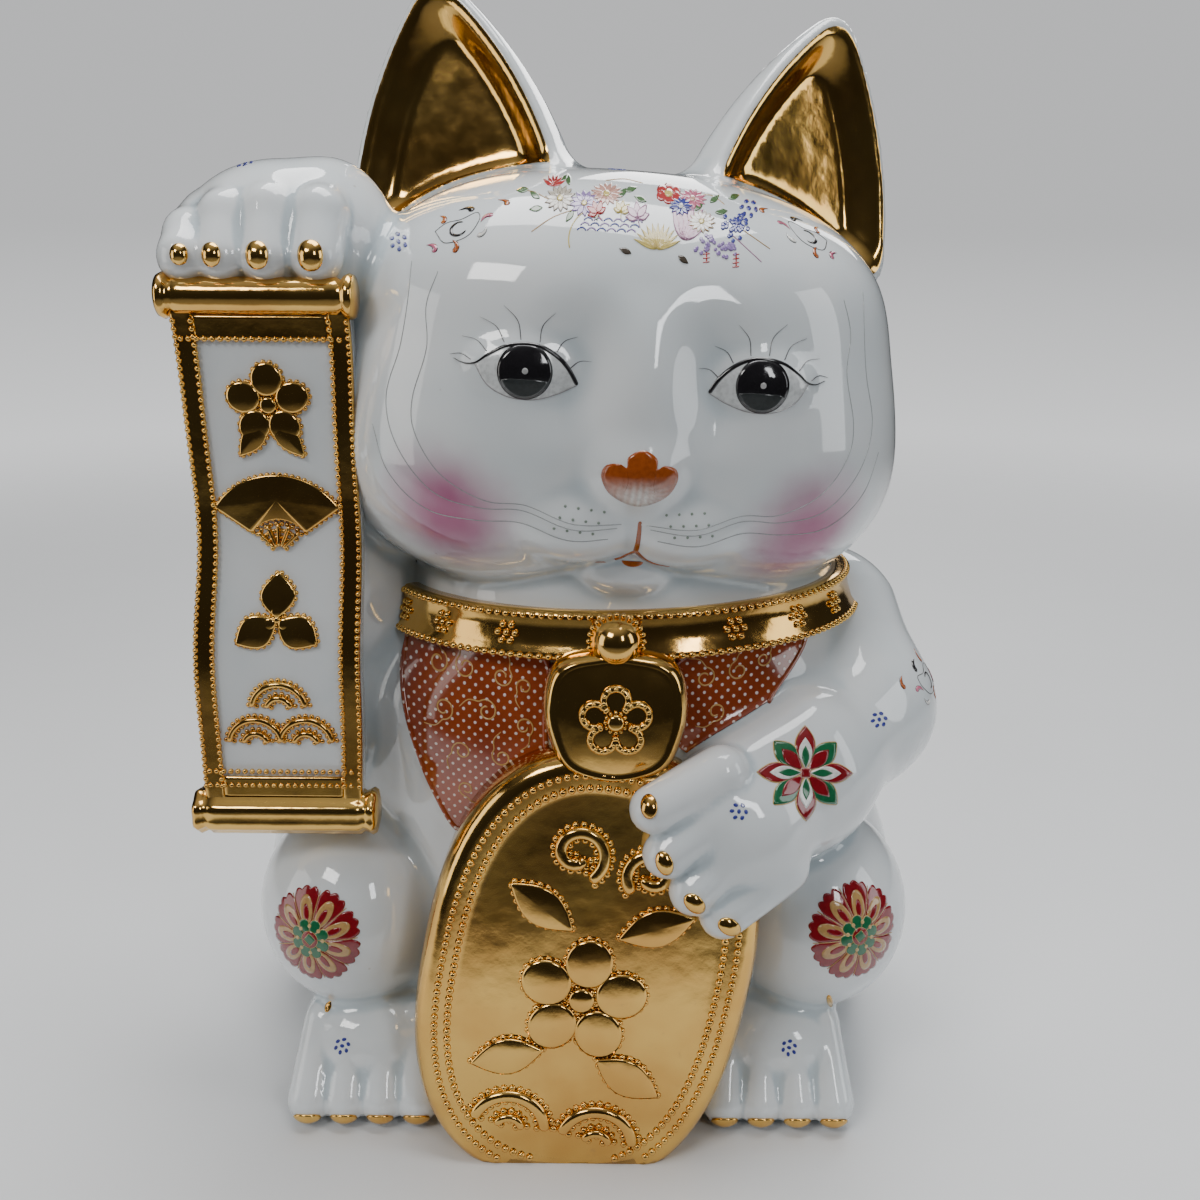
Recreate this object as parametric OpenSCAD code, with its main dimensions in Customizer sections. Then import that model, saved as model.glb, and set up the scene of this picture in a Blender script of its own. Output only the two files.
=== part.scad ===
// Glazed porcelain beckoning cat that serves as a coin bank, 12 inch class.
// +X is the viewer's right, the cat faces -Y, and Z = 0 is the surface it stands on.

/* [Castings] */
// Wall of the slip-cast body and head
wall = 6; // [5:0.5:8]
// Highest point of the ears
ear_tip_z = 304; // [296:1:310]
// Height of the head's centre
head_z = 207; // [203:1:211]

/* [Bank] */
// Length of the coin slot across the back
slot_length = 40; // [32:1:46]
// Height of the coin slot
slot_height = 5.4; // [5:0.2:7]
// Radius of the stopper's bore in the floor plate
bore_r = 16; // [14:0.5:18]
// Radial clearance of the rubber stopper
stopper_clearance = 0.06; // [0.02:0.01:0.1]

/* [Coin] */
// Width of the oval coin
coin_width = 88; // [84:1:90]
// Length of the oval coin before its foot is cut flat
coin_length = 126; // [120:1:130]
// Lean of the coin to the viewer's right, in degrees
coin_lean = 11; // [8:1:13]

/* [Scroll] */
// Width of the hanging panel
scroll_width = 40; // [36:1:42]
// Height of the upper rod's axis
scroll_top_z = 227; // [224:1:230]
// Height of the lower rod's axis
scroll_bottom_z = 91; // [89:1:94]

/* [Beads] */
// Radius of the gilt slip beads
bead_r = 1.3; // [1:0.1:1.6]

/* [Hidden] */

porcelain = "aliceblue";
gold = "goldenrod";
bib_red = "sienna";

big_fn = 28;         // facets round the large eggs
small_fn = 14;       // facets round fingers and toes
claw_fn = 8;
hollow_fn = 16;      // facets round the hollows
skin = 1;            // thickness of bib and gilding layers
luting_gap = 0.1;    // slip joint round the floor plate

floor_t = 7;         // floor plate
floor_r = 34;        // end radius of the floor plate
floor_dx = 18;       // half the distance between its two end centres
floor_y = 8;
flange_r = bore_r + 3;
flange_t = 1.8;
flange_gap = 0.8;    // stopper flange above the table
recess_t = flange_gap + flange_t;
plug_top_z = 11;

slot_x = 8;
slot_z = 124;
slot_depth = 60;

head_x = 10;

coin_pos = [2.5, -72, 53];
coin_tilt_back = 5;
coin_t = 16;         // rim thickness of the coin
coin_face_z = 2.5;   // the face stands this far out of the rim
coin_power = 2.5;    // above 2 the oval is squarer than an ellipse
coin_steps = 48;

scroll_x = -78;
scroll_y = -50;      // mid plane of the hanging panel
scroll_t = 6;
rod_r = [4.6, 6.2];      // upper and lower roller
rod_length = [44, 45.5];
scroll_sway = 2.5;   // sideways and depth wave of the hanging panel
scroll_segments = 10;
scroll_hang = 2;     // the panel's foot hangs this far behind its head
rod_fn = 12;
knob_t = 2;
knob_extra = 0.9;    // the end buttons stand out of the rollers by this much
border_w = 5;        // gilt border strip of the panel
border_t = 1;
relief = 1.6;        // height of gilt ornaments

collar_z = 144.5;
collar_h = 13;
collar_t = 3;
collar_roll = 1.5;   // collar rises to the viewer's right
neck_h = 30;

pendant_pos = [9.7, -60, 124];
pendant_face_y = -67;
bell_pos = [9.7, -63, 145.5];
bell_r = 6.3;

big = 400;

// ---------- basic forms ----------

module egg(p, s, n = big_fn) translate(p) scale(s) sphere(1, $fn = n);

module ball(p, r, n = small_fn) translate(p) sphere(r, $fn = n);

// A limb of round sections: stations are [x, y, z, r]
module limb(stations, g = 0, n = small_fn)
  for (i = [0 : len(stations) - 2])
    hull() {
      ball([for (k = [0 : 2]) stations[i][k]], stations[i][3] + g, n);
      ball([for (k = [0 : 2]) stations[i + 1][k]], stations[i + 1][3] + g, n);
    }

module above_table() intersection() {
  children();
  translate([-big / 2, -big / 2, 0]) cube(big);
}

// ---------- outer forms, each with a growth g for skins and hollows ----------

module torso(g = 0, n = big_fn) {
  hull() {
    egg([0, 8, 38], [84 + g, 66 + g, 58 + g], n);
    egg([3, 4, 80], [84 + g, 61 + g, 50 + g], n);
  }
  hull() {
    egg([3, 4, 80], [84 + g, 61 + g, 50 + g], n);
    egg([9, -2, 113], [80 + g, 58 + g, 45 + g], n);
  }
}

module haunch(side, g = 0, n = big_fn) hull() {
  egg([side * 70, -32, 54], [29 + g, 31 + g, 31 + g], n);
  egg([side * 62, 14, 42], [38 + g, 46 + g, 46 + g], n);
}

function foot_x(side) = side > 0 ? 57 : -60;

// A padded paw: a mitt with four toes that stand a little out of it
module foot(side) translate([foot_x(side), 0, 0]) {
  hull() {
    egg([0, -46, 12], [20.5, 18, 12]);
    egg([0, -28, 24], [18, 20, 17]);
  }
  for (toe = [-1.5 : 1 : 1.5])
    hull() {
      egg([toe * 10.2, -58, 7.5], [6, 11, 7.5], small_fn);
      egg([toe * 9, -46, 21], [5.4, 12, 12], small_fn);
    }
}

module seated_body(g = 0) {
  torso(g);
  for (side = [-1, 1]) haunch(side, g);
  neck_form(g - collar_t, neck_h);
}

// Broad cranium over two full cheeks
module head(g = 0, n = big_fn) {
  hull() {
    egg([head_x, -2, head_z + 4], [72 + g, 58 + g, 51 + g], n);
    egg([head_x, -8, head_z - 6], [74 + g, 54 + g, 46 + g], n);
  }
  hull() {
    egg([head_x, -8, head_z - 6], [74 + g, 54 + g, 46 + g], n);
    for (side = [-1, 1])
      egg([head_x + side * 28, -10, head_z - 20], [50 + g, 50 + g, 40 + g], n);
  }
}

module muzzle() translate([head_x + 6, 0, 0]) {
  for (side = [-1, 1])
    hull() {
      egg([side * 12, -53, 173], [15, 12, 10]);
      egg([side * 8, -51, 180], [10, 12, 10]);
    }
  hull() {
    egg([0, -62, 187], [8.5, 7, 6], small_fn);
    egg([0, -54, 204], [7, 6, 8], small_fn);
  }
  egg([0, -48, 159], [13, 10, 7], small_fn);
}

// Ears: the left one is upright, the right one turns a little outwards
module ear(side, g = 0) {
  tip_x = side < 0 ? -42 : 68;
  outer_x = side < 0 ? -52 : 68;
  inner_x = side < 0 ? -16 : 40;
  tip_drop = side < 0 ? 0 : 5;
  hull() {
    ball([tip_x, 6, ear_tip_z - tip_drop - 9], 9 + g, 24);
    ball([outer_x, -4, 248], 12 + g, 24);
    ball([inner_x, -2, 256], 11 + g, 24);
    ball([outer_x + side * -6, 14, 240], 14 + g, 24);
  }
}

// The scoop in the front of an ear that carries the gilding
module ear_dish(side, push = 0) {
  tip_x = side < 0 ? -41 : 68;
  translate([0, push, 0])
    hull() {
      egg([tip_x, -9, ear_tip_z - 17 - (side < 0 ? 0 : 5)], [5, 12, 12], 22);
      egg([side < 0 ? -53 : 69, -16, 250], [7, 12, 8], 22);
      egg([side < 0 ? -20 : 46, -15, 262], [9, 12, 8], 22);
    }
}

raised_stations = [
  [-76, -30, 106, 15], [-58, -8, 118, 25], [-72, -22, 152, 21], [-76, -26, 190, 20], [-79, -28, 222, 21]
];

// Four fingers that curl over the upper roller, as [x, drop of the knuckle]
raised_fingers = [[-95.5, 6], [-86.5, 1.5], [-75.8, 0], [-63.5, 0.5]];

module raised_limb() {
  limb(raised_stations, n = 24);
  egg([-76, -28, 237], [28, 23, 23]);
  egg([-64, -25, 240], [15, 16, 20]);
  for (f = raised_fingers)
    limb([
      [f[0], -30, 252 - f[1], 6.4], [f[0], -43, 247 - f[1], 6.4], [f[0], -49.5, 236, 6.4]
    ]);
}

holding_stations = [[74, 6, 126, 26], [80, -14, 108, 23], [58, -44, 100, 21], [38, -58, 88, 20]];

// Tips of four fingers that lie side by side over the coin, and how steeply each one lies
holding_tips = [[19.5, -73.5, 103], [23, -74.5, 91], [30, -74.5, 80.5], [38, -74, 73.5]];
holding_leans = [24, 36, 40, 34];
holding_claws = [[18.1, -78, 106.8], [22.2, -79.3, 91.5], [30, -79.3, 80.3], [39, -78.9, 73.8]];

// The way back along a finger
function finger_back(lean) = [0.95 * cos(lean), 0.3, 0.95 * sin(lean)];

// Hollow way from the body up into the head
neck_bore_h = 60;
neck_bore_r = 34;

// Blossom in relief on the coin
blossom_v = -5;
blossom_heart = 6;
blossom_reach = 9.8;
blossom_petal = 6.6;

module holding_limb() {
  limb(holding_stations, n = 24);
  limb([[29, -68, 104, 8], [60, -46, 111, 13]]);
  egg([42, -62, 92], [19, 15.5, 18]);
  for (i = [0 : 3])
    limb([[each holding_tips[i], 6.3], [each (holding_tips[i] + 20 * finger_back(holding_leans[i])), 7]]);
}

// ---------- coin ----------

function oval(w, l, power, steps) = [
  for (i = [0 : steps - 1])
    let (a = 360 * i / steps, c = cos(a), s = sin(a))
      [w / 2 * sign(c) * pow(abs(c), 2 / power), l / 2 * sign(s) * pow(abs(s), 2 / power)]
];

// Coin space: X across, Y up the coin, Z towards the viewer
module in_coin_space() translate(coin_pos) rotate([90 - coin_tilt_back, 0, 0])
  rotate([0, 0, -coin_lean]) children();

module coin_blank() in_coin_space()
  hull() {
    translate([0, 0, -coin_t]) linear_extrude(coin_t)
      polygon(oval(coin_width, coin_length, coin_power, coin_steps));
    linear_extrude(coin_face_z)
      polygon(oval(coin_width - 7, coin_length - 7, coin_power, coin_steps));
  }

// ---------- scroll ----------

function sway(t) = scroll_sway * sin(t * 300);

function scroll_point(t) = [
  scroll_x + sway(t) / 2,
  scroll_y + scroll_hang * t + sway(t),
  scroll_top_z + (scroll_bottom_z - scroll_top_z) * t
];

// A ribbon that follows the hanging panel, from t0 to t1 down its length
module ribbon(x0, x1, depth0, depth1, t0 = 0, t1 = 1, steps = scroll_segments)
  for (i = [0 : steps - 1])
    hull() for (k = [i, i + 1])
      translate(scroll_point(t0 + (t1 - t0) * k / steps))
        translate([x0, depth0, -0.01]) cube([x1 - x0, depth1 - depth0, 0.02]);

module panel() ribbon(-scroll_width / 2, scroll_width / 2, -scroll_t / 2, scroll_t / 2);

// The upper roller is number 0 and the lower one number 1
module rod(i) translate(scroll_point(i) + [-rod_length[i] / 2, -1, 0]) rotate([0, 90, 0]) {
  cylinder(h = rod_length[i], r = rod_r[i], $fn = rod_fn);
  for (z = [-knob_t, rod_length[i]])
    translate([0, 0, z]) cylinder(h = knob_t, r = rod_r[i] + knob_extra, $fn = rod_fn);
}

// ---------- collar ----------

// Band round the neck, from a thickness under the surface outwards
module neck_form(g = 0, h = collar_h) translate([head_x, 0, collar_z]) rotate([0, -collar_roll, 0])
  intersection() {
    hull() for (side = [-1, 1])
      egg([side * 8, -3, -6], [59 + g, 54 + g, 60], 32);
    translate([-big / 2, -big / 2, -h / 2]) cube([big, big, h]);
  }

// ---------- castings ----------

module floor_plate_form(g = 0) translate([0, floor_y, -0.01])
  hull() for (side = [-1, 1]) translate([side * floor_dx, 0, 0])
    cylinder(h = floor_t + 0.02, r = floor_r + g, $fn = 96);

module body_casting() color(porcelain) difference() {
  above_table() {
    seated_body();
    for (side = [-1, 1]) foot(side);
  }
  intersection() {
    union() {
      torso(-wall, hollow_fn);
      for (side = [-1, 1]) haunch(side, -wall, hollow_fn);
      translate([head_x, -4, collar_z - neck_bore_h / 2])
        cylinder(h = neck_bore_h, r = neck_bore_r, $fn = 40);
    }
    translate([-big / 2, -big / 2, floor_t]) cube(big);
  }
  floor_plate_form(luting_gap);
  translate([slot_x, slot_depth / 2 + 20, slot_z])
    cube([slot_length, slot_depth, slot_height], center = true);
  head();
  muzzle();
}

module base_disc() color(porcelain) translate([0, floor_y, 0]) difference() {
  union() {
    for (side = [-1, 1]) translate([side * floor_dx, 0, 0])
      cylinder(h = floor_t, r = floor_r, $fn = 96);
    translate([-floor_dx, -floor_r, 0]) cube([floor_dx * 2, floor_r * 2, floor_t]);
  }
  translate([0, 0, -1]) cylinder(h = floor_t + 2, r = bore_r, $fn = 64);
  translate([0, 0, -1]) cylinder(h = 1 + recess_t, r = flange_r + 0.5, $fn = 64);
}

module stopper() color("dimgray") translate([0, floor_y, 0]) difference() {
  union() {
    translate([0, 0, flange_gap]) cylinder(h = flange_t, r = flange_r, $fn = 64);
    translate([0, 0, flange_gap])
      cylinder(h = plug_top_z - flange_gap, r = bore_r - stopper_clearance, $fn = 64);
  }
  translate([0, 0, recess_t]) cylinder(h = plug_top_z, r = bore_r - 4, $fn = 64);
}

module tail() color(porcelain) difference() {
  above_table()
    limb([[62, 52, 13, 11], [48, 64, 13, 12], [26, 68, 14, 11], [6, 69, 20, 9]], n = 24);
  seated_body();
  head();
}

module head_casting() color(porcelain) difference() {
  union() {
    head();
    muzzle();
  }
  head(-wall, hollow_fn);
  translate([head_x, -4, collar_z - 30]) cylinder(h = 60, r = 34, $fn = 40);
  neck_form(0, collar_h);
}

module ear_body(side) color(porcelain) difference() {
  ear(side);
  head();
  ear_dish(side);
}

module ear_gilding(side) color(gold) difference() {
  intersection() {
    ear(side);
    ear_dish(side);
  }
  ear_dish(side, -skin);
  head();
  seated_body();
}

module left_ear() ear_body(-1);
module right_ear() ear_body(1);
module left_ear_gilding() ear_gilding(-1);
module right_ear_gilding() ear_gilding(1);

module raised_arm() color(porcelain) difference() {
  raised_limb();
  limb([for (i = [1 : 4]) raised_stations[i]], -wall, hollow_fn);
  seated_body();
  neck_form(0);
  head();
  ear(-1);
  panel();
  rod(0);
}

module raised_paw_claws() color(gold) difference() {
  for (f = raised_fingers)
    egg([f[0] - 1.5, -54.5, 236.5], [2.8, 2.8, 3.2], claw_fn);
  raised_limb();
  panel();
  rod(0);
}

module holding_arm() color(porcelain) difference() {
  holding_limb();
  seated_body();
  neck_form(0);
  head();
  coin_blank();
}

module holding_paw_claws() color(gold) difference() {
  for (at = holding_claws)
    egg(at, [2.4, 2.4, 2.8], claw_fn);
  holding_limb();
  coin_blank();
}

module foot_claws(side) color(gold) difference() {
  for (toe = [-1.5 : 1 : 1.5])
    egg([foot_x(side) + toe * 10.2, -67.5, 5], [3.6, 3, 2.6], claw_fn);
  foot(side);
  seated_body();
  coin_blank();
}

module left_foot_claws() foot_claws(-1);
module right_foot_claws() foot_claws(1);

// ---------- scroll nodes ----------

module scroll_panel() color(porcelain) difference() {
  panel();
  rod(0);
  rod(1);
}

module scroll_top_rod() color(gold) rod(0);

module scroll_bottom_rod() color(gold) rod(1);

module scroll_border() color(gold) difference() {
  for (x = [-scroll_width / 2, scroll_width / 2 - border_w])
    ribbon(x, x + border_w, -scroll_t / 2 - border_t, -scroll_t / 2);
  panel();
  rod(0);
  rod(1);
  raised_limb();
}

// Four raised sprigs, each a diamond with four leaves
module scroll_ornaments() color(gold) difference() {
  for (t = [0.2 : 0.2 : 0.8])
    translate(scroll_point(t) + [0, -scroll_t / 2 - relief, 0]) rotate([-90, 0, 0])
      for (a = [0 : 60 : 300]) rotate([0, 0, a])
        linear_extrude(relief + 1) polygon([[2, 0], [6, 2.6], [11, 0], [6, -2.6]]);
  panel();
}

// ---------- collar nodes ----------

module collar_band() color(gold) difference() {
  neck_form(0);
  seated_body();
  head();
}

module collar_beading() color(gold) difference() {
  for (row = [-1, 1], a = [-150 : 7.5 : -30])
    translate([head_x, -3, collar_z]) rotate([0, -collar_roll, 0])
      translate([8 * sign(cos(a)) + 59 * cos(a), 54 * sin(a), row * (collar_h / 2 - bead_r)])
        rotate([90, 0, a + 90])
          cylinder(h = 2 * bead_r, r1 = bead_r, r2 = bead_r * 0.6, center = true, $fn = 6);
  ball(bell_pos, bell_r + luting_gap, 20);
  neck_form(0);
  head();
  seated_body();
  raised_limb();
  pendant_form();
}

module bell() color(gold) difference() {
  ball(bell_pos, bell_r, 20);
  neck_form(0);
  seated_body();
  head();
}

module pendant_form() difference() {
  hull() {
    egg(pendant_pos + [0, 0, 4], [18, 10, 13], 26);
    egg(pendant_pos - [0, 0, 6], [16, 10, 12], 26);
  }
  translate([-big / 2, pendant_face_y - big, 0]) cube(big);
}

module pendant() color(gold) difference() {
  pendant_form();
  seated_body();
  neck_form(0);
  bell();
  coin_blank();
  holding_limb();
}

// Eight petals on the pouch's flattened front
module pendant_ornament() color(gold)
  for (a = [0 : 45 : 315])
    translate([pendant_pos[0], pendant_face_y, pendant_pos[2]]) rotate([90, a, 0])
      linear_extrude(relief) polygon([[1.5, 0], [5, 2], [9, 0], [5, -2]]);

module bib_panel(outline) color(bib_red) difference() {
  intersection() {
    torso(skin);
    rotate([90, 0, 0]) linear_extrude(big) polygon(outline);
  }
  seated_body();
  neck_form(0);
  pendant_form();
  coin_blank();
  holding_limb();
  raised_limb();
  panel();
  rod(1);
}

module bib_left()
  bib_panel([[-58, 142], [8, 142], [8, 96], [-18, 88], [-31, 82], [-44, 98], [-54, 120]]);

module bib_right()
  bib_panel([[12, 142], [70, 144], [66, 130], [48, 116], [32, 109], [12, 108]]);

// ---------- coin nodes ----------

module koban_coin() color(gold) difference() {
  above_table() coin_blank();
  seated_body();
  for (side = [-1, 1]) foot(side);
}

module koban_beading() color(gold) difference() {
  above_table() in_coin_space()
    for (p = oval(coin_width - 14, coin_length - 14, coin_power, 72))
      translate([p[0], p[1], coin_face_z]) cylinder(h = bead_r, r1 = bead_r, r2 = bead_r * 0.6, $fn = 6);
  holding_limb();
  holding_paw_claws();
}

// A five-petalled blossom between two pairs of leaves
module koban_ornament() color(gold) difference() {
  above_table() in_coin_space() translate([0, blossom_v, coin_face_z]) linear_extrude(relief) {
    circle(r = blossom_heart, $fn = 24);
    for (a = [90 : 72 : 378]) rotate(a) translate([blossom_reach, 0]) circle(r = blossom_petal, $fn = 24);
    for (side = [-1, 1], up = [-1, 1])
      translate([side * 7, up * 17]) rotate(90 - side * (90 - up * 30))
        polygon([[0, 0], [9, 5], [24, 0], [9, -5]]);
  }
  holding_limb();
  holding_paw_claws();
}

body_casting();
base_disc();
stopper();
tail();
head_casting();
left_ear();
right_ear();
left_ear_gilding();
right_ear_gilding();
raised_arm();
raised_paw_claws();
scroll_panel();
scroll_border();
scroll_top_rod();
scroll_bottom_rod();
scroll_ornaments();
collar_band();
collar_beading();
bell();
pendant();
pendant_ornament();
bib_left();
bib_right();
koban_coin();
koban_beading();
koban_ornament();
holding_arm();
holding_paw_claws();
left_foot_claws();
right_foot_claws();
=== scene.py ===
"""Glazed porcelain beckoning cat with gilt trim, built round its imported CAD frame."""
import math

import bpy
import numpy as np
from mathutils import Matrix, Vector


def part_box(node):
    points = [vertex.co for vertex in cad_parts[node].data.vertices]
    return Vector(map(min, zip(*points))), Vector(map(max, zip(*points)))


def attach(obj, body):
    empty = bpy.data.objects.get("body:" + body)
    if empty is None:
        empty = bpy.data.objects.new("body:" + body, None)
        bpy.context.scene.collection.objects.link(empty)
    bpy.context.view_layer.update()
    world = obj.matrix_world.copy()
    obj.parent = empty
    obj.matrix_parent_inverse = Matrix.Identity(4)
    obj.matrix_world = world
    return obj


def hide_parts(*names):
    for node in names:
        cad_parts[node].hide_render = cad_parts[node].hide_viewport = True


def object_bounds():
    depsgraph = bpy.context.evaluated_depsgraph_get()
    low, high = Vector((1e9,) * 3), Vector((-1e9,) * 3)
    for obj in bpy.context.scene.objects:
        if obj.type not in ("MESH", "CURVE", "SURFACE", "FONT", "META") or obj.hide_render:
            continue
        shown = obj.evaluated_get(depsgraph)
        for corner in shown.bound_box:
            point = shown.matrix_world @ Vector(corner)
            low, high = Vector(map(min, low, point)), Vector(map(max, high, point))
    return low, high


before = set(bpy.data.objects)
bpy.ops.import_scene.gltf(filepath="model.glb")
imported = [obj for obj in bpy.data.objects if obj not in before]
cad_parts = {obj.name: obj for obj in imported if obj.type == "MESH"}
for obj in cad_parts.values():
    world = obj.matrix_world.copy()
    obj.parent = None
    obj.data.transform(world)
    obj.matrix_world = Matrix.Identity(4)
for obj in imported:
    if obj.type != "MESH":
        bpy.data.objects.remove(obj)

import openvdb
from bpy.props import FloatProperty, FloatVectorProperty, PointerProperty
from mathutils import Euler, Vector
from mathutils.bvhtree import BVHTree

bl_info = {
    "name": "Porcelain Beckoning Cat",
    "version": (1, 0, 0),
    "blender": (4, 5, 0),
    "location": "View3D > Sidebar > Cat",
    "description": "Builds a glazed and gilt beckoning cat on its CAD frame",
    "category": "Object",
}

CAD_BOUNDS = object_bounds()
MM = 0.001
BODY = "cat"
MADE = {}


# ---------------------------------------------------------------- places on the frame

def box_mm(node):
    low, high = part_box(node)
    return np.array(low) / MM, np.array(high) / MM


def spot(node, fx=0.5, fy=0.5, fz=0.5):
    """A point at fractions of a CAD node's box, in millimetres."""
    low, high = box_mm(node)
    return low + (high - low) * np.array([fx, fy, fz])


FIGURE_LOW, FIGURE_HIGH = (np.array(c) / MM for c in CAD_BOUNDS)


# ---------------------------------------------------------------- clay: signed distances

FAR = 60.0

def unit(v):
    v = np.asarray(v, float)
    return v / np.linalg.norm(v)


def turned(x, y, z):
    return np.array(Euler([math.radians(a) for a in (x, y, z)]).to_matrix())


def soft_min(a, b, k):
    h = np.clip(0.5 + 0.5 * (b - a) / k, 0, 1)
    return b + (a - b) * h - k * h * (1 - h)


def soft_max(a, b, k):
    return -soft_min(-a, -b, k)


class Clay:
    """Signed distance of one casting in millimetres, on its own window of a shared lattice."""

    PAD = 14

    def __init__(self, low, high, step, pivot=(0, 0, 0), turn=(0, 0, 0)):
        self.step = step
        self.start = np.floor((np.array(low) - self.PAD) / step).astype(int)
        stop = np.ceil((np.array(high) + self.PAD) / step).astype(int)
        axes = [np.arange(a, b, dtype=np.float32) * step - p
                for a, b, p in zip(self.start, stop, pivot)]
        grid = np.meshgrid(*axes, indexing="ij")
        back = turned(*turn).T.astype(np.float32)
        self.p = [sum(back[i, j] * grid[j] for j in range(3)) for i in range(3)]
        self.d = np.full(grid[0].shape, FAR, np.float32)

    def add(self, distance, blend):
        self.d = soft_min(self.d, distance, blend)

    def cut(self, distance, blend):
        self.d = soft_max(self.d, -distance, blend)

    def egg_distance(self, at, radii, power=2.0):
        q = [(c - a) / r for c, a, r in zip(self.p, at, radii)]
        if power == 2.0:
            k0 = np.sqrt(sum(c * c for c in q))
            k1 = np.sqrt(sum((c / r) ** 2 for c, r in zip(q, radii)))
            return k0 * (k0 - 1) / np.maximum(k1, 1e-4)
        total = sum(np.abs(c) ** power for c in q)
        k0 = np.maximum(total, 1e-6) ** (1 / power)
        slope = np.sqrt(sum((np.abs(c) ** (power - 1) / r) ** 2 for c, r in zip(q, radii)))
        return (k0 - 1) * k0 ** (power - 1) / np.maximum(slope, 1e-4)

    def egg(self, at, radii, blend=6, power=2.0):
        self.add(self.egg_distance(at, radii, power), blend)

    def limb_distance(self, a, b, ra, rb):
        ab = np.subtract(b, a)
        rel = [c - s for c, s in zip(self.p, a)]
        t = np.clip(sum(c * s for c, s in zip(rel, ab)) / float(ab @ ab), 0, 1)
        gap = sum((c - s * t) ** 2 for c, s in zip(rel, ab))
        return np.sqrt(gap) - (ra + (rb - ra) * t)

    def limb(self, a, b, ra, rb, blend=6):
        self.add(self.limb_distance(a, b, ra, rb), blend)

    def chain(self, stations, blend=8):
        for (*a, ra), (*b, rb) in zip(stations, stations[1:]):
            self.limb(a, b, ra, rb, blend)


class Lattice:
    """Joins the castings' windows into one field and reads it back at any point."""

    PAD = 16
    BAND = 8

    def __init__(self, low, high, step):
        self.step = step
        self.start = np.floor((np.array(low) - self.PAD) / step).astype(int)
        shape = np.ceil((np.array(high) + self.PAD) / step).astype(int) - self.start
        self.d = np.full(shape, FAR, np.float32)

    def window(self, clay):
        a = clay.start - self.start
        lo = np.maximum(a, 0)
        hi = np.minimum(a + clay.d.shape, self.d.shape)
        return (tuple(slice(i, j) for i, j in zip(lo, hi)),
                tuple(slice(i - k, j - k) for i, j, k in zip(lo, hi, a)))

    def join(self, clay, blend):
        here, there = self.window(clay)
        self.d[here] = soft_min(self.d[here], clay.d[there], blend)

    def spread(self, clay):
        """A casting's distances on the whole lattice, far outside its window."""
        whole = np.full(self.d.shape, FAR, np.float32)
        here, there = self.window(clay)
        whole[here] = clay.d[there]
        return whole

    def read(self, field, points):
        q = points / self.step - self.start
        q = np.clip(q, 0, np.array(field.shape) - 1.001)
        i = q.astype(int)
        f = q - i
        value = 0
        for corner in np.ndindex(2, 2, 2):
            weight = np.prod([f[:, a] if c else 1 - f[:, a] for a, c in enumerate(corner)], axis=0)
            value = value + weight * field[tuple(i[:, a] + corner[a] for a in range(3))]
        return value

    def slope(self, points, reach):
        columns = []
        for axis in range(3):
            shift = np.zeros(3)
            shift[axis] = reach
            columns.append(self.read(self.d, points + shift) - self.read(self.d, points - shift))
        slope = np.stack(columns, 1)
        return slope / np.maximum(np.linalg.norm(slope, axis=1, keepdims=True), 1e-6)

    def pooling(self, points, reach=2.6):
        """Above 0 in creases, where glaze runs thick, and below 0 on ridges."""
        total = -6 * self.read(self.d, points)
        for axis in range(3):
            for sign in (-1, 1):
                shift = np.zeros(3)
                shift[axis] = sign * reach
                total = total + self.read(self.d, points + shift)
        return -total / reach

    def surface(self):
        grid = openvdb.FloatGrid(FAR)
        grid.copyFromArray(np.clip(self.d, -self.BAND, self.BAND))
        points, quads = grid.convertToQuads(isovalue=0.0)
        points = (points + self.start) * self.step
        for _ in range(2):
            points = points - self.read(self.d, points)[:, None] * self.slope(points, self.step)
        split = np.vstack([quads[:, [0, 1, 2]], quads[:, [0, 2, 3]]])
        return points, split.astype(np.int64)


# ---------------------------------------------------------------- meshes

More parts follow.
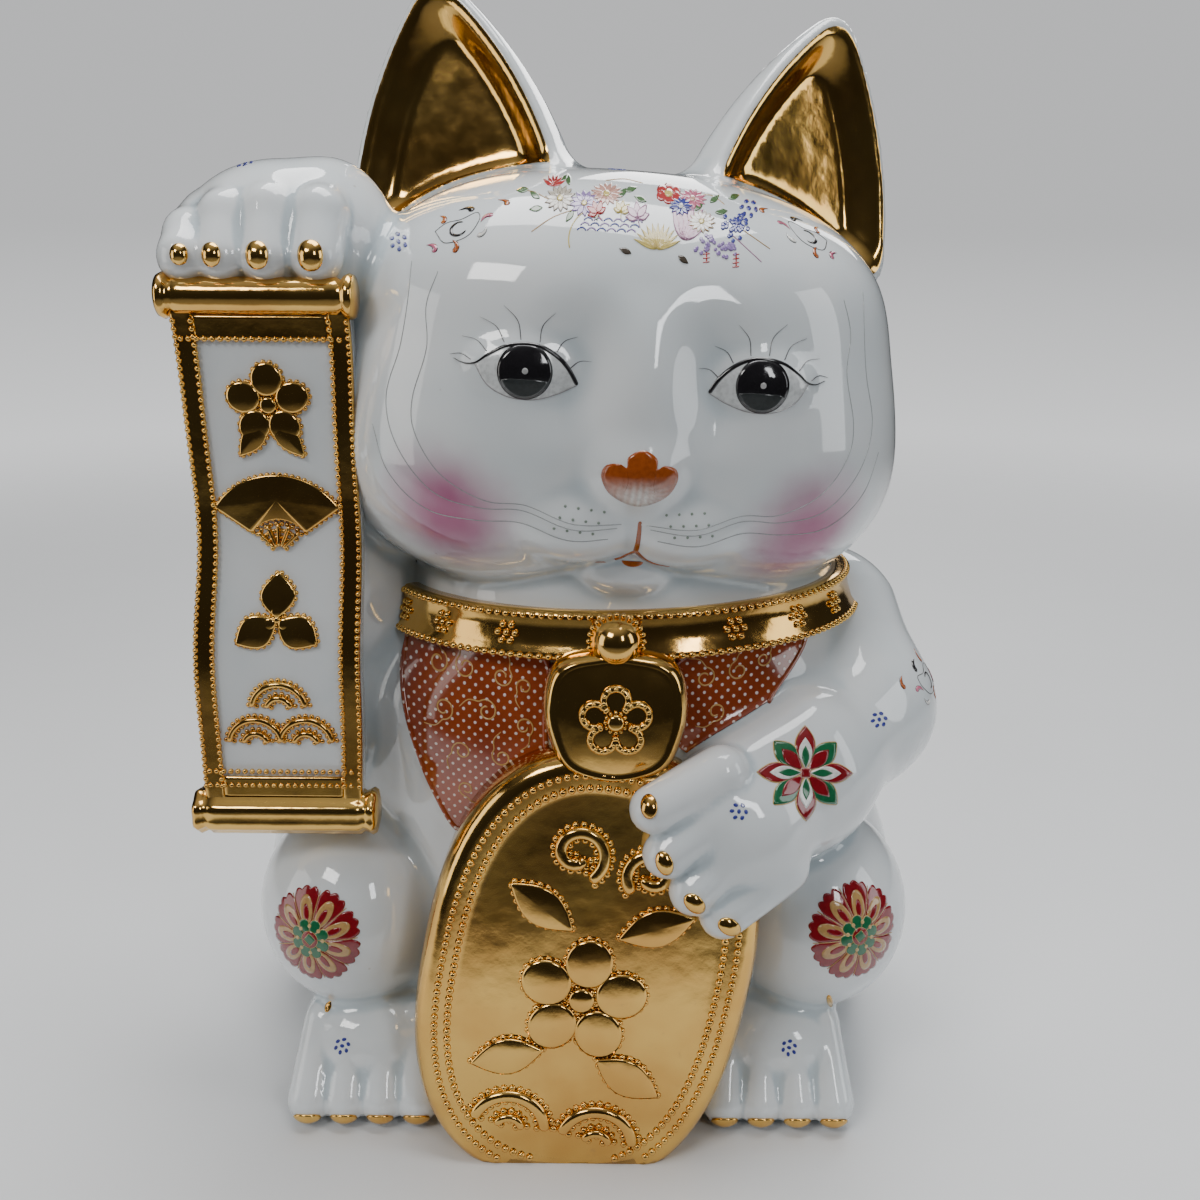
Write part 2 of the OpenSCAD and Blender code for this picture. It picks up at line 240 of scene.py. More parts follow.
class Sheet:
    """Triangles whose vertex rows hold a place, a normal and any number of further values."""

    def __init__(self, rows, faces):
        self.rows, self.faces = rows, faces

    def clipped(self, inside):
        """Keeps the part where inside is below 0, cut through the triangles."""
        keep = inside < 0
        faces = self.faces[keep[self.faces].any(1)]
        whole = keep[faces].all(1)
        part = faces[~whole]
        turn = keep[part]
        ones = turn.sum(1) == 1
        first = np.where(ones, turn.argmax(1), (~turn).argmax(1))
        part = np.take_along_axis(part, (first[:, None] + np.arange(3)) % 3, 1)
        a, b, c = part.T
        ends = np.sort(np.vstack([np.stack([a, b], 1), np.stack([a, c], 1)]), 1)
        pairs, index = np.unique(ends, axis=0, return_inverse=True)
        index = index.reshape(-1)
        s, t = inside[pairs[:, 0]], inside[pairs[:, 1]]
        share = (s / (s - t))[:, None]
        fresh = self.rows[pairs[:, 0]] * (1 - share) + self.rows[pairs[:, 1]] * share
        ab, ac = (index + len(self.rows)).reshape(2, -1)
        corner = np.stack([a, ab, ac], 1)[ones]
        rest = np.vstack([np.stack([ab, b, c], 1)[~ones], np.stack([ab, c, ac], 1)[~ones]])
        rows = np.vstack([self.rows, fresh])
        return Sheet(rows, np.vstack([faces[whole], corner, rest])).packed()

    def packed(self):
        used, faces = np.unique(self.faces, return_inverse=True)
        return Sheet(self.rows[used], faces.reshape(-1, 3))

    def rim(self):
        edges = np.vstack([self.faces[:, [0, 1]], self.faces[:, [1, 2]], self.faces[:, [2, 0]]])
        _, index, count = np.unique(np.sort(edges, 1), axis=0, return_index=True, return_counts=True)
        return edges[index[count == 1]]

    def shell(self, rise, depth):
        """A closed wall: this sheet raised by rise, a copy depth below it and the rim between."""
        co, n = self.rows[:, :3], self.rows[:, 3:6]
        rise = np.broadcast_to(np.asarray(rise, float), len(co))[:, None]
        top, under = co + n * rise, co - n * depth
        a, b = self.rim().T
        m = len(co)
        sides = np.vstack([np.stack([b, a, a + m], 1), np.stack([b, a + m, b + m], 1)])
        faces = np.vstack([self.faces, self.faces[:, ::-1] + m, sides])
        return np.vstack([top, under]), faces, np.vstack([n, -n])


def ring_faces(rows, n):
    """Triangles between rings of n points each, where each ring lies above the one before."""
    k = np.arange(n)
    after = (k + 1) % n
    tris = []
    for row in range(rows - 1):
        a, b = row * n, (row + 1) * n
        tris.append(np.stack([a + k, a + after, b + after], 1))
        tris.append(np.stack([a + k, b + after, b + k], 1))
    return np.vstack(tris)


def capped_faces(rows, n):
    """Rings closed with two further points: one over the last ring, then one under the first."""
    k = np.arange(n)
    after = (k + 1) % n
    last = (rows - 1) * n
    tip = np.full(n, rows * n)
    return np.vstack([ring_faces(rows, n), np.stack([last + k, last + after, tip], 1),
                      np.stack([after, k, tip + 1], 1)])


def bar_faces(rows, n):
    """Triangles of a bar whose rows hold n points each, with a fan over either end."""
    i, k = np.meshgrid(np.arange(rows - 1), np.arange(n), indexing="ij")
    a, b = (i * n + k).ravel(), (i * n + (k + 1) % n).ravel()
    fan = np.arange(1, n - 1)
    first = np.stack([0 * fan, fan + 1, fan], 1)
    last = np.stack([0 * fan, fan, fan + 1], 1) + (rows - 1) * n
    return np.vstack([np.stack([a, b, b + n], 1), np.stack([a, b + n, a + n], 1), first, last])


def joined(parts):
    """The points and faces of several meshes as those of one."""
    starts = np.cumsum([0, *(len(points) for points, _ in parts)])
    return (np.vstack([points for points, _ in parts]),
            np.vstack([faces + start for (_, faces), start in zip(parts, starts)]))


def make_mesh(name, points, faces, normals=None, values=None):
    """A smooth mesh object in metres, from points in millimetres and an array of triangles."""
    faces = np.asarray(faces, np.int32)
    mesh = bpy.data.meshes.new(name)
    mesh.vertices.add(len(points))
    mesh.vertices.foreach_set("co", (np.asarray(points, np.float32) * MM).ravel())
    mesh.loops.add(faces.size)
    mesh.loops.foreach_set("vertex_index", faces.ravel())
    mesh.polygons.add(len(faces))
    mesh.polygons.foreach_set("loop_start", np.arange(0, faces.size, 3))
    mesh.update(calc_edges=True)
    mesh.polygons.foreach_set("use_smooth", np.ones(len(faces), bool))
    for key, column in (values or {}).items():
        kind = "FLOAT" if column.ndim == 1 else "FLOAT_COLOR"
        layer = mesh.attributes.new(key, kind, "POINT")
        field = "value" if kind == "FLOAT" else "color"
        layer.data.foreach_set(field, column.astype(np.float32).ravel())
    if normals is not None:
        mesh.normals_split_custom_set_from_vertices(normals)
    mesh.validate()
    thing = bpy.data.objects.new(name, mesh)
    bpy.context.scene.collection.objects.link(thing)
    return thing


def settle(thing, material, slot, *nodes):
    """Gives a piece its material, hides the CAD nodes it stands for and hangs it on the body it rides on."""
    thing.data.materials.append(material)
    if nodes:
        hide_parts(*nodes)
    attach(thing, BODY)


# ---------------------------------------------------------------- shader expressions

def maths(kind, swap=False):
    """A method that adds one Math node; swap is for the reflected form of an operator."""
    def method(wire, *others):
        terms = [wire, *others]
        if swap:
            terms.reverse()
        return wire.board.node("ShaderNodeMath", {"operation": kind}, dict(enumerate(terms)))
    return method


class Wire:
    """A float or vector socket that takes part in Python arithmetic."""

    def __init__(self, board, socket):
        self.board = board
        self.socket = socket

    __add__ = maths("ADD")
    __radd__ = maths("ADD", swap=True)
    __sub__ = maths("SUBTRACT")
    __rsub__ = maths("SUBTRACT", swap=True)
    __mul__ = maths("MULTIPLY")
    __rmul__ = maths("MULTIPLY", swap=True)
    __pow__ = maths("POWER")
    __rpow__ = maths("POWER", swap=True)
    root = maths("SQRT")
    part = maths("FRACT")

    def step(self, low, high):
        """0 below low and 1 above high, smooth between; low above high turns it round."""
        return self.board.node(
            "ShaderNodeMapRange", {"interpolation_type": "SMOOTHSTEP"},
            {"Value": self, "From Min": low, "From Max": high, "To Min": 0.0, "To Max": 1.0})


def set_stops(elements, stops):
    """Gives a new ramp its stops, each a place from 0 to 1 and a colour."""
    for index, (at, colour) in enumerate(stops):
        element = elements[index] if index < 2 else elements.new(at)
        element.position = at
        element.color = colour


class Board:
    """One material's node tree."""

    def __init__(self, name):
        self.material = bpy.data.materials.new(name)
        self.material.use_nodes = True
        self.nodes, self.links = self.material.node_tree.nodes, self.material.node_tree.links
        self.shader = self.nodes["Principled BSDF"]

    @classmethod
    def on(cls, owner):
        """The board of a world, or of anything else that has a node tree already."""
        board = cls.__new__(cls)
        board.nodes, board.links = owner.node_tree.nodes, owner.node_tree.links
        return board

    def node(self, kind, settings=None, values=None, out=0):
        """A new node with its settings, a ramp's stops among them, and its values or links."""
        made = self.nodes.new(kind)
        for key, value in (settings or {}).items():
            if key == "stops":
                set_stops(made.color_ramp.elements, value)
            else:
                setattr(made, key, value)
        for key, value in (values or {}).items():
            self.put(made.inputs[key], value)
        return Wire(self, made.outputs[out])

    def steps(self, value, greys):
        """A cool grey that runs through stops of a value from -1 to 1."""
        stops = [(at / 2 + 0.5, (grey, grey * 1.01, grey * 1.025, 1)) for at, grey in greys]
        return self.node("ShaderNodeValToRGB", {"stops": stops}, {0: value * 0.5 + 0.5})

    def put(self, socket, value):
        if isinstance(value, Wire):
            self.links.new(value.socket, socket)
        else:
            socket.default_value = value

    def set(self, **values):
        for key, value in values.items():
            self.put(self.shader.inputs[key.replace("_", " ")], value)
        return self.material

    def place(self):
        """Object coordinates in millimetres."""
        where = self.node("ShaderNodeTexCoord", out=3)
        return self.node("ShaderNodeVectorMath", {"operation": "SCALE"}, {0: where, "Scale": 1 / MM})

    def axes(self, vector):
        parted = self.node("ShaderNodeSeparateXYZ", {}, {0: vector})
        return [Wire(self, socket) for socket in parted.socket.node.outputs]

    def noise(self, size, detail=2.0):
        """Noise from 0 to 1 whose grains are about size millimetres."""
        return self.node("ShaderNodeTexNoise", {}, {
            "Vector": self.place(), "Scale": 1 / size, "Detail": detail, "Roughness": 0.5})

    def mix(self, share, a, b):
        return self.node("ShaderNodeMix", {"data_type": "RGBA"}, {0: share, 6: a, 7: b}, out=2)

    def value_of(self, attribute):
        return self.node("ShaderNodeAttribute", {"attribute_name": attribute}, out=2)

    def colour_of(self, attribute):
        return self.node("ShaderNodeAttribute", {"attribute_name": attribute})

    def bump(self, height, depth):
        """A normal that is bent by a height from 0 to 1, which stands for depth in millimetres."""
        return self.node("ShaderNodeBump", {}, {"Height": height, "Distance": depth * MM, "Strength": 1.0})


def rgba(colour):
    return (*tuple(colour)[:3], 1.0)


def glaze_material(settings, name="white_glaze", blush=()):
    """Bluish white porcelain: thick clear glaze that pools in creases, with a slow ripple."""
    b = Board(name)
    pool = b.value_of("pool").step(0.02, 0.5)
    clouds = b.noise(34, 3.0)
    tone = b.mix(clouds.step(0.35, 0.7), rgba(settings.glaze_colour), rgba(settings.glaze_shade))
    tone = b.mix(pool * 0.75, tone, rgba(settings.pool_colour))
    grain = b.node("ShaderNodeTexVoronoi", {}, {"Vector": b.place(), "Scale": 1 / 17.0})
    tone = b.mix(grain.step(0.035, 0.018) * 0.35, tone, (0.32, 0.27, 0.22, 1))
    for at in blush:
        away = b.node("ShaderNodeVectorMath", {"operation": "DISTANCE"}, {0: b.place(), 1: tuple(at)}, out=1)
        puff = (away + b.noise(11, 2.0) * 5).step(settings.blush_size, 7.0)
        tone = b.mix(puff * 0.95, tone, rgba(settings.blush_colour))
    ripple = b.noise(9, 1.0) * 0.75 + b.noise(1.6, 2.0) * 0.06
    return b.set(Base_Color=tone, Roughness=b.noise(14, 2.0) * 0.03 + 0.04, IOR=1.5,
                 Coat_Weight=0.6, Coat_Roughness=0.02, Coat_IOR=1.5,
                 Subsurface_Weight=0.08, Subsurface_Radius=(0.8, 0.9, 1.0), Subsurface_Scale=0.002,
                 Normal=b.bump(ripple, 0.08))


def gold_material(settings, name="gold_lustre"):
    """Fired gold lustre: mirror-like, warmer and duller where it lies thin."""
    b = Board(name)
    patch = b.noise(22, 3.0)
    tone = b.mix(patch.step(0.3, 0.72), rgba(settings.gold_colour), rgba(settings.gold_thin))
    rub = b.noise(2.2, 3.0).step(0.62, 0.8)
    tone = b.mix(rub * 0.35, tone, rgba(settings.gold_rubbed))
    ripple = b.noise(6.5, 1.5) * 0.8 + b.noise(1.1, 2.0) * 0.08
    return b.set(Base_Color=tone, Metallic=1.0, Roughness=b.noise(5, 2.0) * 0.1 + 0.07,
                 Normal=b.bump(ripple, 0.16))


# ---------------------------------------------------------------- castings

HEAD_AT = spot("head_casting", 0.5, 0.5, 0.505) + (0.0, -5.0, 0.0)
HEAD_TURN = (0.0, 3.5, 5.5)
SIDES = (("left", -1), ("right", 1))


def on_head(x, y, z):
    """A point given from the head's centre, in its tilted frame."""
    return HEAD_AT + turned(*HEAD_TURN) @ np.array([x, y, z])


def shape_head(step):
    low, high = box_mm("head_casting")
    clay = Clay(low, high, step, HEAD_AT, HEAD_TURN)
    clay.egg((0, 2, 9), (72, 58, 43.5), power=2.4)
    for _, s in SIDES:
        clay.egg((s * 27, -4, -22), (50, 51, 37), 20)
    for _, s in SIDES:
        clay.cut(clay.egg_distance((s * 17, -66, 5), (9, 9, 13)), 12)
        clay.egg((s * 28, -49.5, 3.5), (12.5, 6.5, 7.2), 4)
        clay.egg((s * 13.2, -44.5, -32.6), (17, 13.6, 11), 3.6)
    clay.egg((0, -50.5, -6), (8, 9, 20), 12)
    clay.egg((0, -55, -18.5), (8.5, 7.5, 7), 7)
    clay.egg((1, -37.5, -46.5), (13, 10.5, 7), 2.5)
    return clay


EAR_AT = (47.0, 9.0, 60.0)
EAR_YAW = 20.0
EAR_CORNERS = ((25.0, -34.0), (-35.5, -18.0), (8.0, 39.5))
EAR_BULGE = (0.0, 6.5, 6.5)
EAR_RIM = 1.9
EAR_DISH = 7.0


def ear_outline(u, v):
    """Distance to a triangle whose sides bow outwards by EAR_BULGE."""
    whole = None
    middle = np.mean(EAR_CORNERS, axis=0)
    for i in range(3):
        a, b = np.array(EAR_CORNERS[i]), np.array(EAR_CORNERS[(i + 1) % 3])
        half = np.linalg.norm(b - a) / 2
        bow = EAR_BULGE[i] or 0.5
        radius = (half * half + bow * bow) / (2 * bow)
        out = (a + b) / 2 - middle
        along = (b - a) / (2 * half)
        out = out - along * (out @ along)
        centre = (a + b) / 2 + out / np.linalg.norm(out) * (bow - radius)
        side = np.hypot(u - centre[0], v - centre[1]) - radius
        whole = side if whole is None else soft_max(whole, side, 9)
    return whole


def ear_frame(points, side):
    """Ear space of points given from the head's centre: out, back and up."""
    x, y, z = points
    x, y, z = x * side - EAR_AT[0], y - EAR_AT[1], z - EAR_AT[2]
    c, s = math.cos(math.radians(EAR_YAW)), math.sin(math.radians(EAR_YAW))
    return c * x + s * y, -s * x + c * y, z


def shape_ear(step, side):
    low, high = box_mm(f"{'left' if side < 0 else 'right'}_ear")
    clay = Clay(low, high, step, HEAD_AT, HEAD_TURN)
    u, w, v = ear_frame(clay.p, side)
    flat = ear_outline(u, v)
    half = np.clip(10.5 - 0.13 * (v + 20), 3, 14)
    depth = np.clip((-flat - EAR_RIM) / 9, 0, 1)
    dish = EAR_DISH * depth * depth * (3 - 2 * depth)
    back = soft_max(flat, w - half - 2, 7)
    clay.d = soft_max(back, dish - half - w, 2.2)
    return clay


FEET = (-60.0, 57.0)
TOES = (-1.5, -0.5, 0.5, 1.5)
TOE_PITCH = 10.2


def shape_body(step):
    low, high = box_mm("body_casting")
    clay = Clay(low, high, step)
    clay.egg((0, 8, 40), (84, 66, 58))
    clay.egg((3, 4, 80), (82, 60, 50), 14)
    clay.egg((9, -2, 113), (80, 57, 44), 14)
    clay.egg((12, -4, 146), (62, 52, 50), 8)
    for _, s in SIDES:
        clay.egg((s * 68, 12, 42), (33, 48, 46), 12)
        clay.egg((s * 68 + (s < 0) * 3, -32, 54), (28, 30, 30), 5)
    for foot_x in FEET:
        clay.egg((foot_x, -40, 13), (21, 22, 20), 4, power=2.6)
        for toe in TOES:
            clay.limb((foot_x + toe * 9, -50, 25), (foot_x + toe * TOE_PITCH, -62, 7), 5.0, 6.4, 1.2)
    return clay


RAISED_FINGERS = ((-95.5, 6.0), (-86.5, 1.5), (-75.8, 0.0), (-63.5, 0.5))


def shape_raised_arm(step):
    low, high = box_mm("raised_arm")
    clay = Clay(low, high, step)
    clay.chain([(-57, -4, 120, 25), (-71, -17, 155, 21.5), (-76, -21, 190, 20.5), (-79, -25, 226, 20)])
    clay.limb((-64, -10, 118), (-76, -30, 104), 20, 14, 8)
    clay.egg((-76, -28, 237), (28, 23, 23), 5)
    clay.egg((-64, -25, 240), (15, 16, 20), 6)
    for x, drop in RAISED_FINGERS:
        clay.limb((x, -30, 252 - drop), (x, -43, 247 - drop), 6.2, 6.4, 1.6)
        clay.limb((x, -43, 247 - drop), (x, -49.5, 236), 6.4, 6.4, 1.6)
    return clay


HOLDING_TIPS = ((19.5, -73.5, 103.0), (23.0, -74.5, 91.0), (30.0, -74.5, 80.5), (38.0, -74.0, 73.5))
HOLDING_LEANS = (24.0, 36.0, 40.0, 34.0)


def finger_back(lean):
    """The way back along a finger that lies over the coin."""
    return np.array([0.95 * math.cos(math.radians(lean)), 0.3, 0.95 * math.sin(math.radians(lean))])


def shape_holding_arm(step):
    low, high = box_mm("holding_arm")
    clay = Clay(low, high, step)
    clay.chain([(72, 6, 126, 27), (81, -14, 109, 22.5), (60, -43, 100, 20.5), (42, -58, 92, 19)])
    clay.limb((29, -68, 104), (60, -46, 111), 8, 13, 7)
    clay.egg((42, -62, 92), (19, 15.5, 18), 5, power=2.3)
    for tip, lean in zip(HOLDING_TIPS, HOLDING_LEANS):
        clay.limb(tip + finger_back(lean) * 20, tip, 7.0, 6.3, 1.8)
    return clay


def shape_tail(step):
    low, high = box_mm("tail")
    clay = Clay(low, high, step)
    clay.chain([(62, 50, 14, 12), (46, 62, 14, 12.5), (24, 66, 16, 12), (4, 67, 24, 9.5)])
    return clay


def cut_flat(lattice):
    """Trims the field at the table with a small round foot edge."""
    z = (np.arange(lattice.d.shape[2]) + lattice.start[2]) * lattice.step
    lattice.d = soft_max(lattice.d, np.broadcast_to(0.1 - z, lattice.d.shape).astype(np.float32), 1.6)


WALLS = {"left_ear": 0.9, "right_ear": 0.9, "holding_arm": 2.5, "tail": 2.5}
LUTING = {"body_casting": 1, "head_casting": 3, "left_ear": 6, "right_ear": 6,
          "raised_arm": 5, "holding_arm": 4, "tail": 5}
OUTSIDE = -5.0
SLOT_AT = (8.0, 124.0)
SLOT_HALF = (20.0, 2.7)
SLOT_ROUND = 1.2
BACK_HALF = 20.0
FOOT_EDGE = 3.0


def coin_slot_mask(points):
    """Below 0 outside the slot in the back."""
    gap = np.abs(points[:, [0, 2]] - SLOT_AT) - SLOT_HALF + SLOT_ROUND
    inside = SLOT_ROUND - np.hypot(*np.maximum(gap, 0).T) - np.minimum(np.maximum(*gap.T), 0)
    return np.where(points[:, 1] > BACK_HALF, inside, OUTSIDE)


def floor_hole_mask(points):
    """Below 0 outside the floor plate's hole in the underside."""
    low, high = box_mm("base_disc")
    middle = (low + high) / 2
    half, radius = (high - low)[0] / 2, (high - low)[1] / 2 + 0.1
    x = np.maximum(np.abs(points[:, 0] - middle[0]) - (half - radius), 0)
    inside = radius - np.hypot(x, points[:, 1] - middle[1])
    return np.where(points[:, 2] < FOOT_EDGE, inside, OUTSIDE)


POOL = 6
OWN = 7


def sculpt(step):
    """The joined field, and its skin with each row's pooling and its distance to every casting."""
    shapes = {"body_casting": shape_body(step), "head_casting": shape_head(step)}
    for side_name, side in SIDES:
        shapes[f"{side_name}_ear"] = shape_ear(step, side)
    shapes["raised_arm"] = shape_raised_arm(step)
    shapes["holding_arm"] = shape_holding_arm(step)
    shapes["tail"] = shape_tail(step)
    lattice = Lattice(FIGURE_LOW, FIGURE_HIGH, step)
    for name, clay in shapes.items():
        lattice.join(clay, LUTING[name])
    cut_flat(lattice)
    points, faces = lattice.surface()
    own = np.stack([lattice.read(lattice.spread(clay), points) for clay in shapes.values()], 1)
    rows = np.hstack([points, lattice.slope(points, step), lattice.pooling(points)[:, None], own])
    return lattice, Sheet(rows, faces), list(shapes)


def part_of(name):
    """A casting's share of the whole skin."""
    whole = MADE["whole"]
    own = whole.rows[:, OWN:]
    index = MADE["names"].index(name)
    return whole.clipped(own[:, index] - np.delete(own, index, 1).min(1))


def build_castings(settings):
    MADE["lattice"], MADE["whole"], MADE["names"] = sculpt(settings.voxel)
    whole = MADE["whole"]
    MADE["skin"] = BVHTree.FromPolygons(whole.rows[:, :3].tolist(), whole.faces.tolist())
    MADE["glaze"] = glaze_material(settings)
    blushed = glaze_material(settings, "head_glaze", [on_head(s * 43, -44, -31) for _, s in SIDES])
    for name in MADE["names"]:
        part = part_of(name)
        if name == "body_casting":
            part = part.clipped(coin_slot_mask(part.rows[:, :3]))
            part = part.clipped(floor_hole_mask(part.rows[:, :3]))
        points, faces, normals = part.shell(0, WALLS.get(name, settings.wall))
        pool = np.tile(part.rows[:, POOL], 2)
        thing = make_mesh(name + "_glazed", points, faces, normals, {"pool": pool})
        settle(thing, blushed if name == "head_casting" else MADE["glaze"], "white_glaze", name)


# ---------------------------------------------------------------- settings

class CatCastingSettings(bpy.types.PropertyGroup):
    voxel: FloatProperty(name="Voxel", description="Lattice pitch of the modelled clay, in millimetres",
                         default=1.4, min=0.8, max=3.0)
    wall: FloatProperty(name="Wall", description="Thickness of the slip-cast wall, in millimetres",
                        default=3.0, min=1.5, max=6.0)
    glaze_colour: FloatVectorProperty(name="Glaze", description="Colour of the white glaze",
                                      subtype="COLOR", default=(0.78, 0.81, 0.825))
    glaze_shade: FloatVectorProperty(name="Glaze shade", description="Slightly bluer parts of the glaze",
                                     subtype="COLOR", default=(0.71, 0.76, 0.785))
    pool_colour: FloatVectorProperty(name="Pooled glaze", description="Glaze that ran thick in creases",
                                     subtype="COLOR", default=(0.48, 0.57, 0.62))
    blush_colour: FloatVectorProperty(name="Blush", description="Colour of the airbrushed cheeks",
                                      subtype="COLOR", default=(0.36, 0.025, 0.16))
    blush_size: FloatProperty(name="Blush size", description="Radius of each blushed cheek, in millimetres",
                              default=25.0, min=8.0, max=34.0)


class CatGiltSettings(bpy.types.PropertyGroup):
    gold_colour: FloatVectorProperty(name="Gold", description="Colour of the gold lustre",
                                     subtype="COLOR", default=(0.80, 0.50, 0.14))
    gold_thin: FloatVectorProperty(name="Thin gold", description="Lustre that lies thin",
                                   subtype="COLOR", default=(0.66, 0.37, 0.10))
    gold_rubbed: FloatVectorProperty(name="Rubbed gold", description="Lustre rubbed by handling",
                                     subtype="COLOR", default=(0.48, 0.29, 0.12))


class CatPaintSettings(bpy.types.PropertyGroup):
    bib_colour: FloatVectorProperty(name="Bib red", description="Rust red enamel of the bib",
                                    subtype="COLOR", default=(0.23, 0.036, 0.010))
    bib_light: FloatVectorProperty(name="Bib light red", description="Thinner, lighter bib enamel",
                                   subtype="COLOR", default=(0.36, 0.072, 0.018))
    tendril_colour: FloatVectorProperty(name="Tendrils", description="Painted gold tendrils on the bib",
                                        subtype="COLOR", default=(0.55, 0.31, 0.09))
    dot_pitch: FloatProperty(name="Dot pitch", description="Distance between the bib's dots, in millimetres",
                             default=2.25, min=1.0, max=6.0)


class CatStageSettings(bpy.types.PropertyGroup):
    floor_colour: FloatVectorProperty(name="Floor", description="Colour of the plain floor",
                                      subtype="COLOR", default=(0.74, 0.75, 0.76))
    key_power: FloatProperty(name="Key light", description="Power of the large soft light",
                             default=9.0, unit="POWER")


# ---------------------------------------------------------------- stage

CAMERA_PITCH = 16.0
CAMERA_ROLL = 0.5
CAMERA_AT = (0.0055, -0.350, 0.237)
CAMERA_LENS = 36.0
FLOOR_REACH = 2600.0
FLOOR_SIDES = 72
BACKDROP_STOPS = ((-0.16, 1.02), (0.02, 0.62))
STUDIO_STOPS = ((-1.0, 0.34), (-0.44, 0.2), (-0.24, 0.025), (0.60, 0.035), (0.80, 0.22), (1.0, 0.5))
LAMPS = (("key", (-0.55, -0.75, 0.95), 0.42, 0.26, 0.50, (1.0, 0.985, 0.96)),
         ("window", (0.55, -0.95, 0.70), 0.14, 0.36, 0.22, (0.96, 0.98, 1.0)),
         ("fill", (-1.1, -0.35, 0.30), 0.5, 0.8, 0.28, (1.0, 0.97, 0.93)),
         ("side", (1.1, -0.3, 0.45), 0.35, 0.7, 0.24, (0.95, 0.98, 1.0)),
         ("top", (0.05, 0.12, 1.25), 0.9, 0.6, 1.45, (1.0, 1.0, 1.0)),
         ("back", (0.35, 1.0, 0.8), 0.7, 0.5, 0.5, (1.0, 1.0, 1.0)))


def build_world(scene):
    """A dim studio for reflections, and a plain floor and wall tone behind the figure."""
    world = bpy.data.worlds.new("studio")
    scene.world = world
    world.use_nodes = True
    b = Board.on(world)
    height = b.axes(b.node("ShaderNodeTexCoord"))[2]
    seen = b.node("ShaderNodeLightPath")
    tones = [b.steps(height, stops) for stops in (STUDIO_STOPS, BACKDROP_STOPS)]
    b.put(b.nodes["Background"].inputs[0], b.mix(seen, *tones))


def build_stage(settings):
    scene = bpy.context.scene
    rim = arc((0, 0), FLOOR_REACH, 0, 360 - 360 / FLOOR_SIDES, FLOOR_SIDES)
    k = np.arange(FLOOR_SIDES)
    floor = make_mesh("stage_floor", np.vstack([np.zeros((1, 3)), np.column_stack([rim, 0 * k])]),
                      np.column_stack([0 * k, k + 1, (k + 1) % FLOOR_SIDES + 1]))
    b = Board("stage_floor")
    speckle = b.noise(60, 2.0)
    tone = b.mix(speckle, rgba(settings.floor_colour), rgba([c * 0.97 for c in settings.floor_colour]))
    x, y, _ = b.axes(b.place())
    away = (x * x + y * y).root()
    b.set(Base_Color=tone, Roughness=0.45, Alpha=away.step(1500.0, 420.0) * y.step(-260.0, -175.0))
    floor.data.materials.append(b.material)

    camera = bpy.data.objects.new("camera", bpy.data.cameras.new("camera"))
    camera.data.lens = CAMERA_LENS
    camera.data.sensor_width = 36.0
    camera.data.clip_start = 0.01
    camera.location = CAMERA_AT
    turn = Euler((math.radians(90 - CAMERA_PITCH), 0, 0)).to_matrix()
    roll = Euler((0, 0, math.radians(CAMERA_ROLL))).to_matrix()
    camera.rotation_euler = (turn @ roll).to_euler()
    scene.collection.objects.link(camera)
    scene.camera = camera

    build_world(scene)

    middle = Vector(((FIGURE_LOW + FIGURE_HIGH) / 2 * MM).tolist())
    for name, at, width, height, share, colour in LAMPS:
        lamp = bpy.data.lights.new(name, "AREA")
        lamp.shape, lamp.size, lamp.size_y = "RECTANGLE", width, height
        lamp.energy, lamp.color = settings.key_power * share, colour
        thing = bpy.data.objects.new(name, lamp)
        thing.location = at
        thing.rotation_euler = (middle - Vector(at)).to_track_quat("-Z", "Y").to_euler()
        scene.collection.objects.link(thing)


# ---------------------------------------------------------------- surfaces to work on

def flat_surface(at, matrix):
    """u and v lie in a plane at a point, and h stands out of it along the matrix's third axis."""
    def put(u, v, h):
        return at + np.stack([u, v, h], 1) @ matrix.T
    return put


def skin_surface(at, towards, up=(0, 0, 1), roll=0.0):
    """u and v are measured across the view along towards, then laid on the porcelain."""
    ahead = unit(towards)
    across = unit(np.cross(ahead, up))
    over = np.cross(across, ahead)
    c, s = math.cos(math.radians(roll)), math.sin(math.radians(roll))
    across, over = c * across + s * over, c * over - s * across
    lattice = MADE["lattice"]

    def put(u, v, h):
        p = np.asarray(at) + np.outer(u, across) + np.outer(v, over) - ahead * 26
        for _ in range(48):
            p = p + ahead * np.clip(lattice.read(lattice.d, p), -2.5, 2.5)[:, None] * 0.8
        return p + lattice.slope(p, lattice.step) * np.asarray(h)[:, None]
    return put


def raised(put, by):
    """The same surface, lifted by a height."""
    return lambda u, v, h: put(u, v, h + by)


# ---------------------------------------------------------------- reliefs, drawings and beads

def smooth_path(points, per_span=8, closed=False):
    """A Catmull-Rom curve through a few points."""
    p = np.asarray(points, float)
    ends = (p[-1:], p[:2]) if closed else (2 * p[:1] - p[1:2], 2 * p[-1:] - p[-2:-1])
    q = np.vstack([ends[0], p, ends[1]])
    spans = len(p) if closed else len(p) - 1
    t = np.linspace(0, 1, per_span, endpoint=False)[:, None]
    parts = []
    for i in range(spans):
        a, b, c, d = q[i:i + 4]
        parts.append(0.5 * (2 * b + (c - a) * t + (2 * a - 5 * b + 4 * c - d) * t ** 2
                            + (3 * b - a - 3 * c + d) * t ** 3))
    if not closed:
        parts.append(p[-1:])
    return np.vstack(parts)


